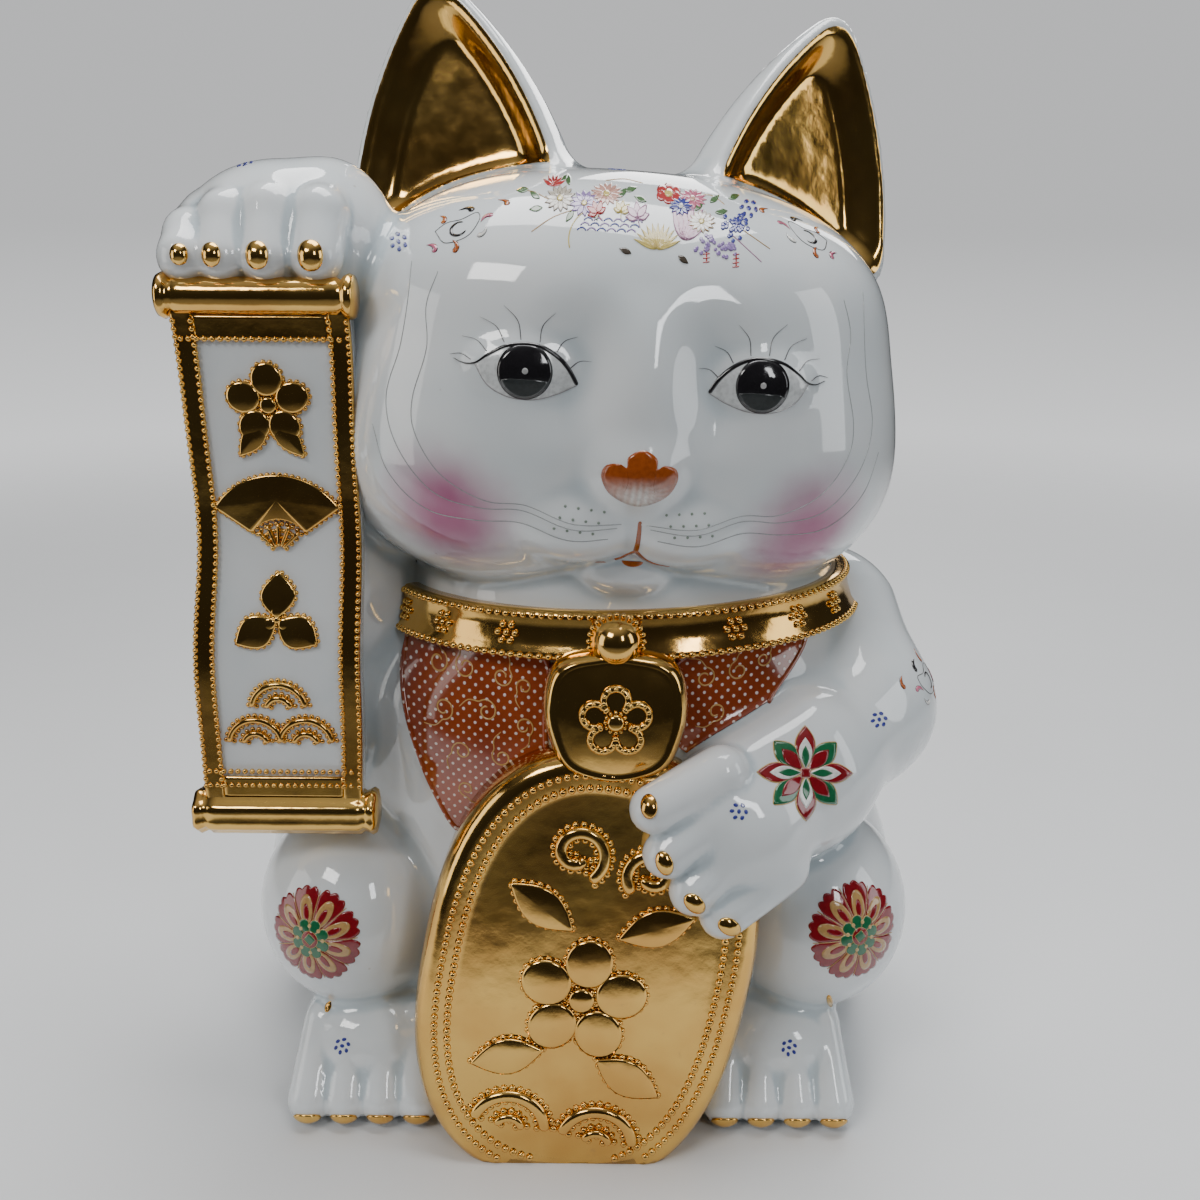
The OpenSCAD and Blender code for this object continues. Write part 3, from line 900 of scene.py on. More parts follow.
def along(path, pitch, closed=False, inset=0.0):
    """Evenly spaced points on a path."""
    p = np.vstack([path, path[:1]]) if closed else np.asarray(path, float)
    run = np.concatenate([[0], np.cumsum(np.hypot(*np.diff(p, axis=0).T))])
    count = max(2, int(round((run[-1] - 2 * inset) / pitch)) + (0 if closed else 1))
    s = np.linspace(inset, run[-1] - inset, count, endpoint=not closed)
    return np.stack([np.interp(s, run, p[:, k]) for k in (0, 1)], 1)


def close_points(outline, gap):
    """A closed outline with more points wherever two lie further apart than gap."""
    rows = []
    for a, b in zip(outline, np.roll(outline, -1, 0)):
        count = max(1, math.ceil(np.hypot(*(b - a)) / gap))
        rows.append(a + (b - a) * np.linspace(0, 1, count, endpoint=False)[:, None])
    return np.vstack(rows)


def arc(centre, radius, start, stop, count=24):
    a = np.radians(np.linspace(start, stop, count))
    return np.asarray(centre) + np.stack([np.cos(a), np.sin(a)], 1) * np.broadcast_to(radius, count)[:, None]


def spiral(centre, inner, outer, start, turns, count=40, mirror=1):
    t = np.linspace(0, 1, count)
    a = math.radians(start) + 2 * math.pi * turns * t
    r = inner + (outer - inner) * t
    return np.asarray(centre) + np.stack([mirror * r * np.cos(a), r * np.sin(a)], 1)


def petal(length, width, power=1.0, base=0.0, count=18):
    """Outline of a petal along +v from its base."""
    t = np.linspace(0, 1, count)
    half = width / 2 * np.sin(np.pi * t ** power)
    v = base + length * t
    return np.vstack([np.stack([half, v], 1), np.stack([-half, v], 1)[-2:0:-1]])


def placed(outline, at=(0, 0), turn=0.0, size=1.0):
    c, s = math.cos(math.radians(turn)), math.sin(math.radians(turn))
    return np.asarray(outline) * size @ np.array([[c, s], [-s, c]]) + np.asarray(at)


def oval(width, length, power, count):
    a = 2 * math.pi * np.arange(count) / count
    c, s = np.cos(a), np.sin(a)
    return np.stack([width / 2 * np.sign(c) * np.abs(c) ** (2 / power),
                     length / 2 * np.sign(s) * np.abs(s) ** (2 / power)], 1)


ROUND_TOP = ((-0.5, -0.3), (-0.5, 0.3), (-0.4, 0.75), (-0.2, 1.0),
             (0.2, 1.0), (0.4, 0.75), (0.5, 0.3), (0.5, -0.3))
THIN_LINE = ((-0.5, -1.0), (-0.5, 0.5), (0.0, 1.0), (0.5, 0.5), (0.5, -1.0))


class Relief:
    """Collects closed little solids given as u, v and height on one surface."""

    def __init__(self, put):
        self.put = put
        self.uvh, self.tris, self.tints, self.count = [], [], [], 0

    def _take(self, uvh, tris, tint):
        self.uvh.append(uvh)
        self.tris.append(np.asarray(tris) + self.count)
        if callable(tint):
            tint = tint(uvh[:, 0], uvh[:, 1])
        colour = np.broadcast_to(np.asarray(tint, float), (len(uvh), 3))
        self.tints.append(np.hstack([colour, np.ones((len(uvh), 1))]))
        self.count += len(uvh)

    def stroke(self, path, width, height, tint=(1, 1, 1), profile=THIN_LINE, taper=(0.0, 0.0), pitch=None):
        """A raised line with round ends; taper narrows it towards its start and its end."""
        pitch = pitch or max(0.5, width / 3)
        path = along(path, pitch)
        run = np.concatenate([[0], np.cumsum(np.hypot(*np.diff(path, axis=0).T))])
        total = run[-1]
        cap = min(width / 2, total / 2) * np.array([0.02, 0.2, 0.5])
        s = np.unique(np.concatenate([cap, total - cap, run[(run > cap[-1]) & (run < total - cap[-1])]]))
        centre = np.stack([np.interp(s, run, path[:, k]) for k in (0, 1)], 1)
        ahead = np.gradient(centre, axis=0)
        ahead = ahead / np.maximum(np.hypot(*ahead.T), 1e-6)[:, None]
        side = np.stack([-ahead[:, 1], ahead[:, 0]], 1)
        edge = np.minimum(s, total - s) / max(width / 2, 1e-6)
        blunt = np.sqrt(np.clip(1 - (1 - np.clip(edge, 0, 1)) ** 2, 0.02, 1))
        t = s / total
        slim = 1 - taper[0] * (1 - t) ** 1.5 - taper[1] * t ** 1.5
        w = width * blunt * np.maximum(slim, 0.06)
        lift = height * np.clip(0.35 + 0.65 * blunt, 0, 1)
        shape = np.asarray(profile)
        uv = centre[:, None] + side[:, None] * (w[:, None] * shape[:, 0])[..., None]
        h = lift[:, None] * shape[:, 1]
        uvh = np.concatenate([uv, h[..., None]], 2).reshape(-1, 3)
        self._take(uvh, bar_faces(len(s), len(shape))[:, ::-1], tint)

    def fill(self, outline, height, tint=(1, 1, 1), centre=None, crown=1.0, foot=-0.2, rings=None):
        """A filled outline that is star-shaped round its centre, a little crowned."""
        outline = close_points(np.asarray(outline, float), 1.3)
        middle = outline.mean(0) if centre is None else np.asarray(centre, float)
        n = len(outline)
        if rings is None:
            reach = np.hypot(*(outline - middle).T).max()
            rings = np.linspace(1, 0, int(reach / 1.2) + 2, endpoint=False)
        layers = [np.column_stack([outline, np.full(n, foot)])]
        for share in rings:
            lift = height * (1 + (crown - 1) * (1 - share * share))
            layers.append(np.column_stack([middle + (outline - middle) * share, np.full(n, lift)]))
        uvh = np.vstack([*layers, [[*middle, height * crown]], [[*middle, foot]]])
        x, y = outline.T
        area = np.sum(x * np.roll(y, -1) - np.roll(x, -1) * y)
        tris = capped_faces(len(layers), n)
        self._take(uvh, tris if area > 0 else tris[:, ::-1], tint)

    def disc(self, at, radius, height, tint=(1, 1, 1), count=12, **more):
        self.fill(arc(at, radius, 0, 360 * (1 - 1 / count), count), height, tint, centre=at, **more)

    def beads(self, at, radius, tint=(1, 1, 1), segments=8, tall=0.95, sink=0.3):
        """A dome at each place, sunk a little."""
        at = np.atleast_2d(at)
        rise = np.radians([-18, 12, 40, 66])
        a = 2 * math.pi * np.arange(segments) / segments
        rings = [np.column_stack([np.cos(r) * np.cos(a), np.cos(r) * np.sin(a),
                                  np.full(segments, math.sin(r) * tall)]) for r in rise]
        rings.append([[0, 0, tall], [0, 0, -0.4]])
        one = np.vstack(rings) * radius
        tris = capped_faces(len(rise), segments)
        places = np.column_stack([at, np.full(len(at), -sink * radius * 0.3)])
        uvh = (places[:, None] + one).reshape(-1, 3)
        many = (tris[None] + (np.arange(len(at)) * len(one))[:, None, None]).reshape(-1, 3)
        self._take(uvh, many, tint)

    def geometry(self):
        uvh = np.vstack(self.uvh)
        return self.put(uvh[:, 0], uvh[:, 1], uvh[:, 2]), np.vstack(self.tris), np.vstack(self.tints)


def build_relief(name, reliefs, material, slot, *nodes, tinted=False):
    """One piece from a list of reliefs."""
    parts = [relief.geometry() for relief in reliefs]
    values = {"tint": np.vstack([tint for *_, tint in parts])} if tinted else None
    points, tris = joined([part[:2] for part in parts])
    settle(make_mesh(name, points, tris, values=values), material, slot, *nodes)


# ---------------------------------------------------------------- gilt parts

def on_body(points):
    """Whether each point lies on the body casting, and not on a limb or the head."""
    whole, skin = MADE["whole"], MADE["skin"]
    owner = whole.rows[:, OWN:].argmin(1)
    first = MADE["names"].index("body_casting")
    nearest = [skin.find_nearest(point)[2] for point in points.tolist()]
    return owner[whole.faces[nearest, 0]] == first


def head_space(points):
    """Rows x, y and z of points as seen from the head's centre, in its tilted frame."""
    return ((points - HEAD_AT) @ turned(*HEAD_TURN)).T


def build_ear_gilding(gold):
    for side_name, side in SIDES:
        part = part_of(f"{side_name}_ear")
        u, w, v = ear_frame(head_space(part.rows[:, :3]), side)
        part = part.clipped(np.maximum(ear_outline(u, v) + EAR_RIM, w - 2.0))
        points, faces, normals = part.shell(0.3, 0.35)
        thing = make_mesh(f"{side_name}_ear_lustre", points, faces, normals)
        settle(thing, gold, "gold_lustre", f"{side_name}_ear_gilding")


HOLDING_CLAWS = ((18.1, 106.8, 4), (22.2, 91.5, 22), (30.0, 80.3, 55), (39.0, 73.8, 72))
RAISED_BOSSES = ((-94.6, 0.75), (-87.0, 0.85), (-76.2, 1.0), (-63.6, 1.1))
CLAW_RINGS = (1.0, 0.85, 0.6, 0.3)


def build_claws(gold):
    bosses = []
    for x, size in RAISED_BOSSES:
        boss = Relief(skin_surface((x, -56, 236.5), (-0.15 - x * 0.002, 1, 0.0)))
        boss.fill(oval(5.2 * size, 6.2 * size, 2.2, 24), 0.5, crown=3.0, rings=(1.0, 0.92, 0.75, 0.5, 0.25))
        bosses.append(boss)
    build_relief("raised_paw_bosses", bosses, gold, "gold_lustre", "raised_paw_claws")
    tips = []
    for x, z, lean in HOLDING_CLAWS:
        tip = laid_on((x, -80, z))
        tip.fill(placed(oval(4.0, 5.8, 2.0, 20), turn=lean), 0.5, crown=2.2, rings=CLAW_RINGS)
        tips.append(tip)
    build_relief("holding_paw_gilt_claws", tips, gold, "gold_lustre", "holding_paw_claws")
    for (side_name, _), foot_x in zip(SIDES, FEET):
        toes = []
        for toe in TOES:
            claw = Relief(skin_surface((foot_x + toe * TOE_PITCH, -66, 4.6), (0, 1, 0.25)))
            claw.fill(oval(7.4, 4.4, 2.2, 20), 0.45, crown=1.8, rings=CLAW_RINGS)
            toes.append(claw)
        build_relief(f"{side_name}_foot_gilt_claws", toes, gold, "gold_lustre", f"{side_name}_foot_claws")


COIN_AT = np.array([2.5, -72.0, 53.0])
COIN_WIDTH, COIN_LENGTH, COIN_POWER = 88.0, 126.0, 2.5
COIN_FACE = 2.5
COIN_TURN = turned(85, 0, 0) @ turned(0, 0, -11)
COIN_BACK, COIN_FIELD = -16.0, 1.9
COIN_EDGE = ((0.0, COIN_BACK), (0.0, -4.0), (0.4, -1.6), (1.4, 0.6), (2.8, 2.0), (4.4, COIN_FACE),
             (5.4, 2.35), (9.5, 2.35), (10.3, 2.0), (11.5, COIN_FIELD))
coin_point = flat_surface(COIN_AT, COIN_TURN)


def cut_at_table(points, faces):
    """Drops what lies under the table and closes the cut with a flat fan."""
    rows = np.hstack([points, np.zeros_like(points)])
    part = Sheet(rows, np.asarray(faces)).clipped(0.05 - points[:, 2])
    a, b = part.rim().T
    middle = part.rows[a, :3].mean(0)
    centre = len(part.rows)
    fan = np.stack([b, a, np.full(len(a), centre)], 1)
    return np.vstack([part.rows[:, :3], middle]), np.vstack([part.faces, fan])


def coin_oval(inset, count):
    """The coin's outline, drawn in by an inset."""
    return oval(COIN_WIDTH - 2 * inset, COIN_LENGTH - 2 * inset, COIN_POWER, count)


def build_coin(gold):
    count = 200
    layers = [np.column_stack([coin_oval(inset, count), np.full(count, h)]) for inset, h in COIN_EDGE]
    field = coin_oval(COIN_EDGE[-1][0], count)
    for share in (0.85, 0.66, 0.45, 0.22):
        layers.append(np.column_stack([field * share, np.full(count, COIN_FIELD)]))
    uvh = np.vstack([*layers, [[0, 0, COIN_FIELD], [0, 0, COIN_BACK]]])
    points, faces = cut_at_table(coin_point(*uvh.T), capped_faces(len(layers), count))
    settle(make_mesh("koban_coin_gilt", points, faces), gold, "gold_lustre", "koban_coin")

    rows = Relief(raised(coin_point, 2.45))
    for inset in (6.0, 9.4):
        row = along(coin_oval(inset, 400), 2.35, closed=True)
        above_table = coin_point(*row.T, np.full(len(row), COIN_FACE))[:, 2] > 1.5
        rows.beads(row[above_table], 1.05)
    build_relief("koban_bead_rows", [rows], gold, "gold_lustre", "koban_beading")

    ornament = Relief(raised(coin_point, COIN_FIELD))
    emboss(ornament, coin_motif(), 1.9, 1.0)
    build_relief("koban_relief", [ornament], gold, "gold_lustre", "koban_ornament")


def beside(path, gap):
    """A path's copy at a sideways gap, with its ends left open."""
    path = along(path, 1.0)
    ahead = np.gradient(path, axis=0)
    ahead = ahead / np.maximum(np.hypot(*ahead.T), 1e-6)[:, None]
    return path + np.stack([-ahead[:, 1], ahead[:, 0]], 1) * gap


def emboss(relief, shapes, height, bead):
    """Filled outlines, whose width is None, and broad strokes, all edged with beads."""
    for path, width in shapes:
        if width is None:
            relief.fill(path, height * 0.75, crown=1.3)
            edges = [np.vstack([path, path[:1]])]
        else:
            relief.stroke(path, width, height, profile=ROUND_TOP, pitch=1.2 * bead)
            edges = [beside(path, side * (width / 2 + 0.25 * bead)) for side in (-1, 1)]
        for edge in edges:
            relief.beads(along(edge, 2.25 * bead, inset=0.3), bead, segments=7)


def flower(at, petals, reach, size):
    """Round petals on a circle, and a button at the heart."""
    at = np.asarray(at, float)
    shapes = [(placed(oval(size, size * 1.08, 2, 24), at + arc((0, 0), reach, a, a, 1)[0], a - 90), None)
              for a in 90 + 360 / petals * np.arange(petals)]
    return [*shapes, (placed(oval(size * 0.55, size * 0.55, 2, 16), at), None)]


def spray(at, turns, length, width):
    """Leaves that spring from one place."""
    return [(placed(petal(length, width), at, turn), None) for turn in turns]


def coin_motif():
    """A plum blossom among leaves, with cloud scrolls above and waves below."""
    shapes = flower((0, -5), 5, 10.6, 12.5)
    shapes += spray((-6, 14), (62,), 21, 10) + spray((6, 14), (-62,), 21, 10)
    shapes += spray((-7, -21), (112,), 20, 10) + spray((7, -21), (-112,), 20, 10)
    shapes.append((spiral((-9, 35), 2.0, 8.0, 200, 1.1, 40, -1), 3.6))
    shapes.append((spiral((11, 33), 2.0, 7.0, 200, 1.1, 40, 1), 3.6))
    for side in (-1, 1):
        shapes.append((arc((side * 12, -46), 9.8, 8, 172, 24), 3.6))
        shapes.append((arc((side * 12, -46), 3.6, 10, 170, 12), 2.6))
    return shapes


SCROLL_AT = np.array([-78.0, -50.0, 0.0])
SCROLL_TOP, SCROLL_FOOT = spot("scroll_top_rod")[2], spot("scroll_bottom_rod")[2]
SCROLL_WIDTH, SCROLL_THICK, SCROLL_BORDER = 42.0, 6.0, 5.2


def scroll_point(u, v, h):
    """u across, v down from the upper rod and h out of the panel's front."""
    t = np.asarray(v) / (SCROLL_TOP - SCROLL_FOOT)
    sway = 2.5 * np.sin(np.radians(300 * t)) + 0.5 * np.sin(np.radians(900 * t + 40))
    x = SCROLL_AT[0] + sway / 2 + u * (1 + 0.02 * np.cos(np.radians(500 * t)))
    y = SCROLL_AT[1] + 2 * t + sway - SCROLL_THICK / 2 - h
    return np.stack([x, y, SCROLL_TOP - np.asarray(v) + 0 * u], 1)


def slab(put, u0, u1, v0, v1, low, high, nu, nv, round_by=0.8):
    """A closed slab between two heights on a surface, with softened edges."""
    u = np.concatenate([[u0, u0], np.linspace(u0 + round_by, u1 - round_by, nu), [u1, u1]])
    h = np.concatenate([[low, high - round_by], np.full(nu, high), [high - round_by, low]])
    v = np.linspace(v0, v1, nv)
    uvh = np.column_stack([np.tile(u, nv), np.repeat(v, len(u)), np.tile(h, nv)])
    return put(*uvh.T), bar_faces(nv, len(u))


def roll_profile(length, radius, knob, count=40, facets=0):
    """A roller along +x: body, waist and button ends."""
    half = length / 2
    stations = [(-half - 2.2, 0.1), (-half - 2.2, knob * 0.55), (-half - 1.7, knob * 0.9),
                (-half - 0.6, knob), (-half + 0.7, knob * 0.9), (-half + 1.5, radius * 0.86),
                (-half + 2.6, radius)]
    stations += [(x, radius * (1 + 0.025 * math.sin(x * 0.9))) for x in np.linspace(-half + 5, 0, 6)]
    stations += [(-x, r) for x, r in reversed(stations[:-1])]
    a = 2 * math.pi * np.arange(count) / count
    wave = 1 + (0.05 * np.cos(facets * a) if facets else 0)
    rings = [np.column_stack([np.full(count, x), r * wave * np.cos(a), r * wave * np.sin(a)])
             for x, r in stations]
    return np.vstack(rings), ring_faces(len(rings), count)


def build_scroll(gold, glaze):
    drop = SCROLL_TOP - SCROLL_FOOT
    half = SCROLL_WIDTH / 2
    points, tris = slab(scroll_point, -half, half, 2, drop - 2, -SCROLL_THICK, 0, 14, 90)
    panel = make_mesh("scroll_panel_glazed", points, tris, values={"pool": np.zeros(len(points))})
    settle(panel, glaze, "white_glaze", "scroll_panel")

    strips = [slab(scroll_point, u0, u0 + SCROLL_BORDER, 3, drop - 3, -0.6, 0.9, 5, 110, 0.5)
              for u0 in (-half - 0.3, half - SCROLL_BORDER + 0.3)]
    inner = half - SCROLL_BORDER + 0.5
    strips += [slab(scroll_point, -inner, inner, v0, v0 + 6, -0.6, 0.8, 26, 8, 0.5)
               for v0 in (4.5, drop - 11)]
    settle(make_mesh("scroll_border_gilt", *joined(strips)), gold, "gold_lustre", "scroll_border")

    beads = Relief(raised(scroll_point, 0.85))
    for u in (-half + 0.3, -half + SCROLL_BORDER - 0.6, half - SCROLL_BORDER + 0.6, half - 0.3):
        v = np.arange(6, drop - 8, 1.9)
        beads.beads(np.column_stack([np.full(len(v), u), v]), 0.78, segments=7)
    for v in (10.2, drop - 12.6, drop - 8.6):
        u = np.arange(-half + 1.5, half - 1, 1.9)
        beads.beads(np.column_stack([u, np.full(len(u), v)]), 0.78, segments=7)
    build_relief("scroll_border_beads", [beads], gold, "gold_lustre")

    for node, name, length, radius, knob, facets in (
            ("scroll_top_rod", "scroll_roller_upper", 44, 4.6, 5.6, 0),
            ("scroll_bottom_rod", "scroll_roller_lower", 45.5, 6.2, 6.3, 7)):
        points, tris = roll_profile(length, radius, knob, facets=facets)
        thing = make_mesh(name, points + spot(node), tris)
        settle(thing, gold, "gold_lustre", node)

    relief = Relief(scroll_point)
    spacing = (drop - 30) / 4
    for index, motif in enumerate((motif_blossom, motif_fan, motif_leaves, motif_wave)):
        middle = 14 + spacing * (index + 0.5)
        shapes = [(path * (1, -1) + (0, middle), width) for path, width in motif()]
        emboss(relief, shapes, 1.5, 0.72)
    build_relief("scroll_sprigs", [relief], gold, "gold_lustre", "scroll_ornaments")


def motif_blossom():
    return flower((0, 1), 5, 6.4, 7.8) + spray((0, -2), (140, -140), 13, 5.5)


def motif_fan():
    band = np.vstack([arc((0, -10), 20, 35, 145, 26), arc((0, -10), 8.5, 145, 35, 14)])
    ribs = [(np.vstack([arc((0, -10), r, a, a, 1) for r in (1.5, 4, 7.5)]), 1.1)
            for a in (44, 67, 90, 113, 136)]
    return [(band, None), *ribs]


def motif_leaves():
    return spray((0, -1), (0, 122, -122), 12.5, 9) + flower((0, -1), 3, 2.4, 3.4)


def motif_wave():
    shapes = []
    for x, y in ((-6.6, -9), (6.6, -9), (0, 1)):
        for radius in (7.0, 3.2):
            shapes.append((arc((x, y), radius, 5, 175, 18), 1.8))
    return shapes


COLLAR_AT = np.array([11.0, -3.5, 144.0])
COLLAR_AXES = (68.0, 56.0)
COLLAR_TILT = turned(0, -1.5, 0)
COLLAR_HEIGHT = 12.5
COLLAR_ROUND = 2 * math.pi * (COLLAR_AXES[0] + COLLAR_AXES[1]) / 2


def collar_point(u, v, h):
    """u round the neck from the front in millimetres, v up the band, h outwards."""
    a = np.asarray(u) / COLLAR_ROUND * 2 * math.pi - math.pi / 2
    lean = 1 - 0.004 * np.asarray(v)
    x = (COLLAR_AXES[0] + h) * np.cos(a) * lean
    y = (COLLAR_AXES[1] + h) * np.sin(a) * lean
    return COLLAR_AT + np.stack([x, y, v + 0 * x], 1) @ COLLAR_TILT.T


def build_collar(gold):
    v = np.array([-6.2, -6.2, -5.2, -4.2, -3.0, 0.0, 3.0, 4.2, 5.2, 6.2, 6.2]) * COLLAR_HEIGHT / 12.5
    h = np.array([-4.0, -0.2, 0.55, 0.5, -0.15, -0.4, -0.15, 0.5, 0.55, -0.2, -4.0])
    count, m = 180, len(v)
    u = np.linspace(0, COLLAR_ROUND, count, endpoint=False)
    uvh = np.column_stack([np.repeat(u, m), np.tile(v, count), np.tile(h, count)])
    i, k = np.meshgrid(np.arange(count), np.arange(m), indexing="ij")
    a, b = (i * m + k).ravel(), (i * m + (k + 1) % m).ravel()
    c, d = ((i + 1) % count * m + k).ravel(), ((i + 1) % count * m + (k + 1) % m).ravel()
    tris = np.vstack([np.stack([a, c, d], 1), np.stack([a, d, b], 1)])
    settle(make_mesh("collar_band_gilt", collar_point(*uvh.T), tris), gold, "gold_lustre", "collar_band")

    beads = Relief(collar_point)
    for row in (-5.1, 5.1):
        at = np.arange(-COLLAR_ROUND * 0.26, COLLAR_ROUND * 0.26, 2.35)
        beads.beads(np.column_stack([at, np.full(len(at), row)]), 0.95, sink=-1.6)
    for middle in (-66, -48, -28, 28, 48, 66):
        ring = arc((middle, 0), 2.3, 0, 300, 6)
        beads.beads(np.vstack([ring, [(middle, 0)]]), 0.95)
    build_relief("collar_bead_rows", [beads], gold, "gold_lustre", "collar_beading")


def build_bell(gold):
    """A ball with a swollen seam, tipped forwards, and a ring of beads."""
    at = spot("bell") - (0, 0, 1.5)
    radius = 6.3
    count = 36
    a = 2 * math.pi * np.arange(count) / count
    rings = []
    for rise in np.radians(np.linspace(-82, 82, 21)):
        swell = 1 + 0.09 * math.exp(-(math.degrees(rise) / 9) ** 2)
        rings.append(np.column_stack([radius * swell * math.cos(rise) * np.cos(a),
                                      radius * swell * math.cos(rise) * np.sin(a),
                                      np.full(count, radius * math.sin(rise))]))
    points = np.vstack([*rings, [[0, 0, radius], [0, 0, -radius]]])
    ball = (points @ turned(80, 0, 0).T + at, capped_faces(len(rings), count))
    seam = Relief(lambda u, v, h: at + np.stack([u, -(h + 0.3), v], 1))
    seam.beads(arc((0, 0), 6.9, 0, 345, 24), 0.75)
    settle(make_mesh("bell_gilt", *joined([ball, seam.geometry()[:2]])), gold, "gold_lustre", "bell")


PENDANT_BACK, PENDANT_CROWN = -7.0, 5.8
PENDANT_DOME = ((1.0, PENDANT_BACK), (1.0, -1.0), (0.985, 0.8), (0.95, 2.4), (0.9, 3.6), (0.87, 3.9),
                (0.84, 3.6), (0.78, 3.9), (0.6, 4.8), (0.4, 5.4), (0.2, 5.7))


def build_pendant(gold):
    low, high = box_mm("pendant")
    at = np.array([(low[0] + high[0]) / 2, -65.0, 124.5])
    width, length, count = 36.5, 35.0, 96
    outline = oval(width, length, 2.7, count)
    outline[:, 0] *= 1 + 0.006 * outline[:, 1]
    outline = outline * (1 + 0.012 * np.cos(8 * np.arctan2(outline[:, 1], outline[:, 0])))[:, None]
    layers = [np.column_stack([outline * share, np.full(count, h)]) for share, h in PENDANT_DOME]
    uvh = np.vstack([*layers, [[0, 0, PENDANT_CROWN], [0, 0, PENDANT_BACK]]])
    put = flat_surface(at, turned(84, 0, 0))
    pouch = make_mesh("pendant_gilt", put(*uvh.T), capped_faces(len(layers), count))
    settle(pouch, gold, "gold_lustre", "pendant")

    def dome(u, v, h):
        share = np.clip(np.hypot(u / width * 2, v / length * 2), 0, 1)
        return put(u, v, h + np.interp(share, *np.transpose(PENDANT_DOME[::-1])))
    relief = Relief(dome)
    loop = arc((0, 5.6), 3.1, -45, 225, 18)
    for i in range(5):
        relief.stroke(placed(loop, turn=72 * i), 1.9, 1.2, profile=ROUND_TOP)
        relief.beads(placed(along(loop, 1.9), turn=72 * i), 0.72, sink=-3.4)
    relief.disc((0, 0), 2.2, 0.9, count=16, crown=1.6)
    relief.beads(arc((0, 0), 2.6, 0, 330, 12), 0.55, sink=-1.5)
    build_relief("pendant_blossom", [relief], gold, "gold_lustre", "pendant_ornament")


# ---------------------------------------------------------------- bib

BIB_PANELS = {
    "left": ((-48, 134), (-47, 141), (-28, 138), (-9, 136.5), (-8.5, 121), (-9.5, 105), (-19, 94.5),
             (-31, 84.5), (-39.5, 95.5), (-46, 113), (-48.5, 126)),
    "right": ((26, 136), (43, 137.5), (59, 140.5), (61, 135.5), (52.5, 125.5), (43.5, 116.5), (33, 111),
              (25, 116)),
}
BIB_RISE = 0.55


def outline_distance(x, z, outline):
    """Distance to a closed outline, below 0 inside it."""
    a = np.asarray(outline)
    b = np.roll(a, -1, 0)
    best = np.full(len(x), 1e9)
    inside = np.zeros(len(x), bool)
    for (ax, az), (bx, bz) in zip(a, b):
        ex, ez = bx - ax, bz - az
        t = np.clip(((x - ax) * ex + (z - az) * ez) / (ex * ex + ez * ez), 0, 1)
        best = np.minimum(best, np.hypot(x - ax - t * ex, z - az - t * ez))
        spans = (az > z) != (bz > z)
        inside ^= spans & (x < ax + ex * (z - az) / (ez if abs(ez) > 1e-9 else 1e-9))
    return np.where(inside, -best, best)


def bib_material(settings):
    """Rust red enamel under the glaze, stippled with small white dots."""
    b = Board("red_enamel")
    x, _, z = b.axes(b.place())
    wobble = b.noise(7, 2.0) * 0.5
    per_dot = math.sqrt(0.5) / settings.dot_pitch
    along_a = (x + z) * per_dot + wobble * 0.4
    along_b = (x - z) * per_dot + wobble * 0.4
    away = ((along_a.part() - 0.5) ** 2 + (along_b.part() - 0.5) ** 2).root()
    dots = away.step(0.215, 0.135)
    base = b.mix(b.noise(26, 2.0).step(0.3, 0.7), rgba(settings.bib_colour), rgba(settings.bib_light))
    base = b.mix(b.noise(0.5, 2.0).step(0.45, 0.8) * 0.3, base, rgba([c * 0.6 for c in settings.bib_colour]))
    tone = b.mix(dots * 0.9, base, (0.80, 0.72, 0.66, 1))
    height = dots * 0.6 + b.noise(6, 1.5)
    return b.set(Base_Color=tone, Roughness=b.noise(9, 2.0) * 0.08 + 0.08,
                 Coat_Weight=0.8, Coat_Roughness=0.03, Normal=b.bump(height, 0.08))


def enamel_material(name, shade=0.6):
    """Painted colour that each piece carries at its points, with uneven brushwork under the glaze."""
    b = Board(name)
    tint = b.colour_of("tint")
    brushed = b.noise(1.1, 3.0).step(0.35, 0.75) * shade
    thick = b.node("ShaderNodeVectorMath", {"operation": "SCALE"}, {0: tint, "Scale": 0.62})
    tone = b.mix(brushed, tint, thick)
    return b.set(Base_Color=tone, Roughness=b.noise(4, 2.0) * 0.08 + 0.07,
                 Coat_Weight=0.8, Coat_Roughness=0.03, Normal=b.bump(b.noise(3, 2.0), 0.05))


def curl(at, size, mirror, turn):
    """A tendril: a tight spiral that opens into a tail."""
    head = spiral((0, 0), 0.35, 1.0, 20, 1.15, 30, mirror)
    tail = smooth_path([head[-1], head[-1] + (mirror * -0.5, 0.9), head[-1] + (mirror * -1.5, 1.25)], 6)[1:]
    return placed(np.vstack([head, tail]), at, turn, size)


BIB_CURLS = {
    "left": ((-38, 131, 3.0, 1, 0), (-30, 131, 3.0, -1, 20), (-20, 130, 2.8, 1, -30),
             (-36, 120, 3.0, -1, 160), (-24, 121, 3.0, 1, 60), (-14, 118, 2.6, -1, 200),
             (-31, 109, 2.8, 1, 120), (-20, 109, 2.8, -1, 30), (-30, 98, 2.4, 1, 200),
             (-14, 128, 2.2, 1, 140)),
    "right": ((33, 131, 2.8, 1, 10), (42, 132, 2.8, -1, 0), (36, 122, 2.5, -1, 150), (49, 134, 2.2, 1, -40)),
}


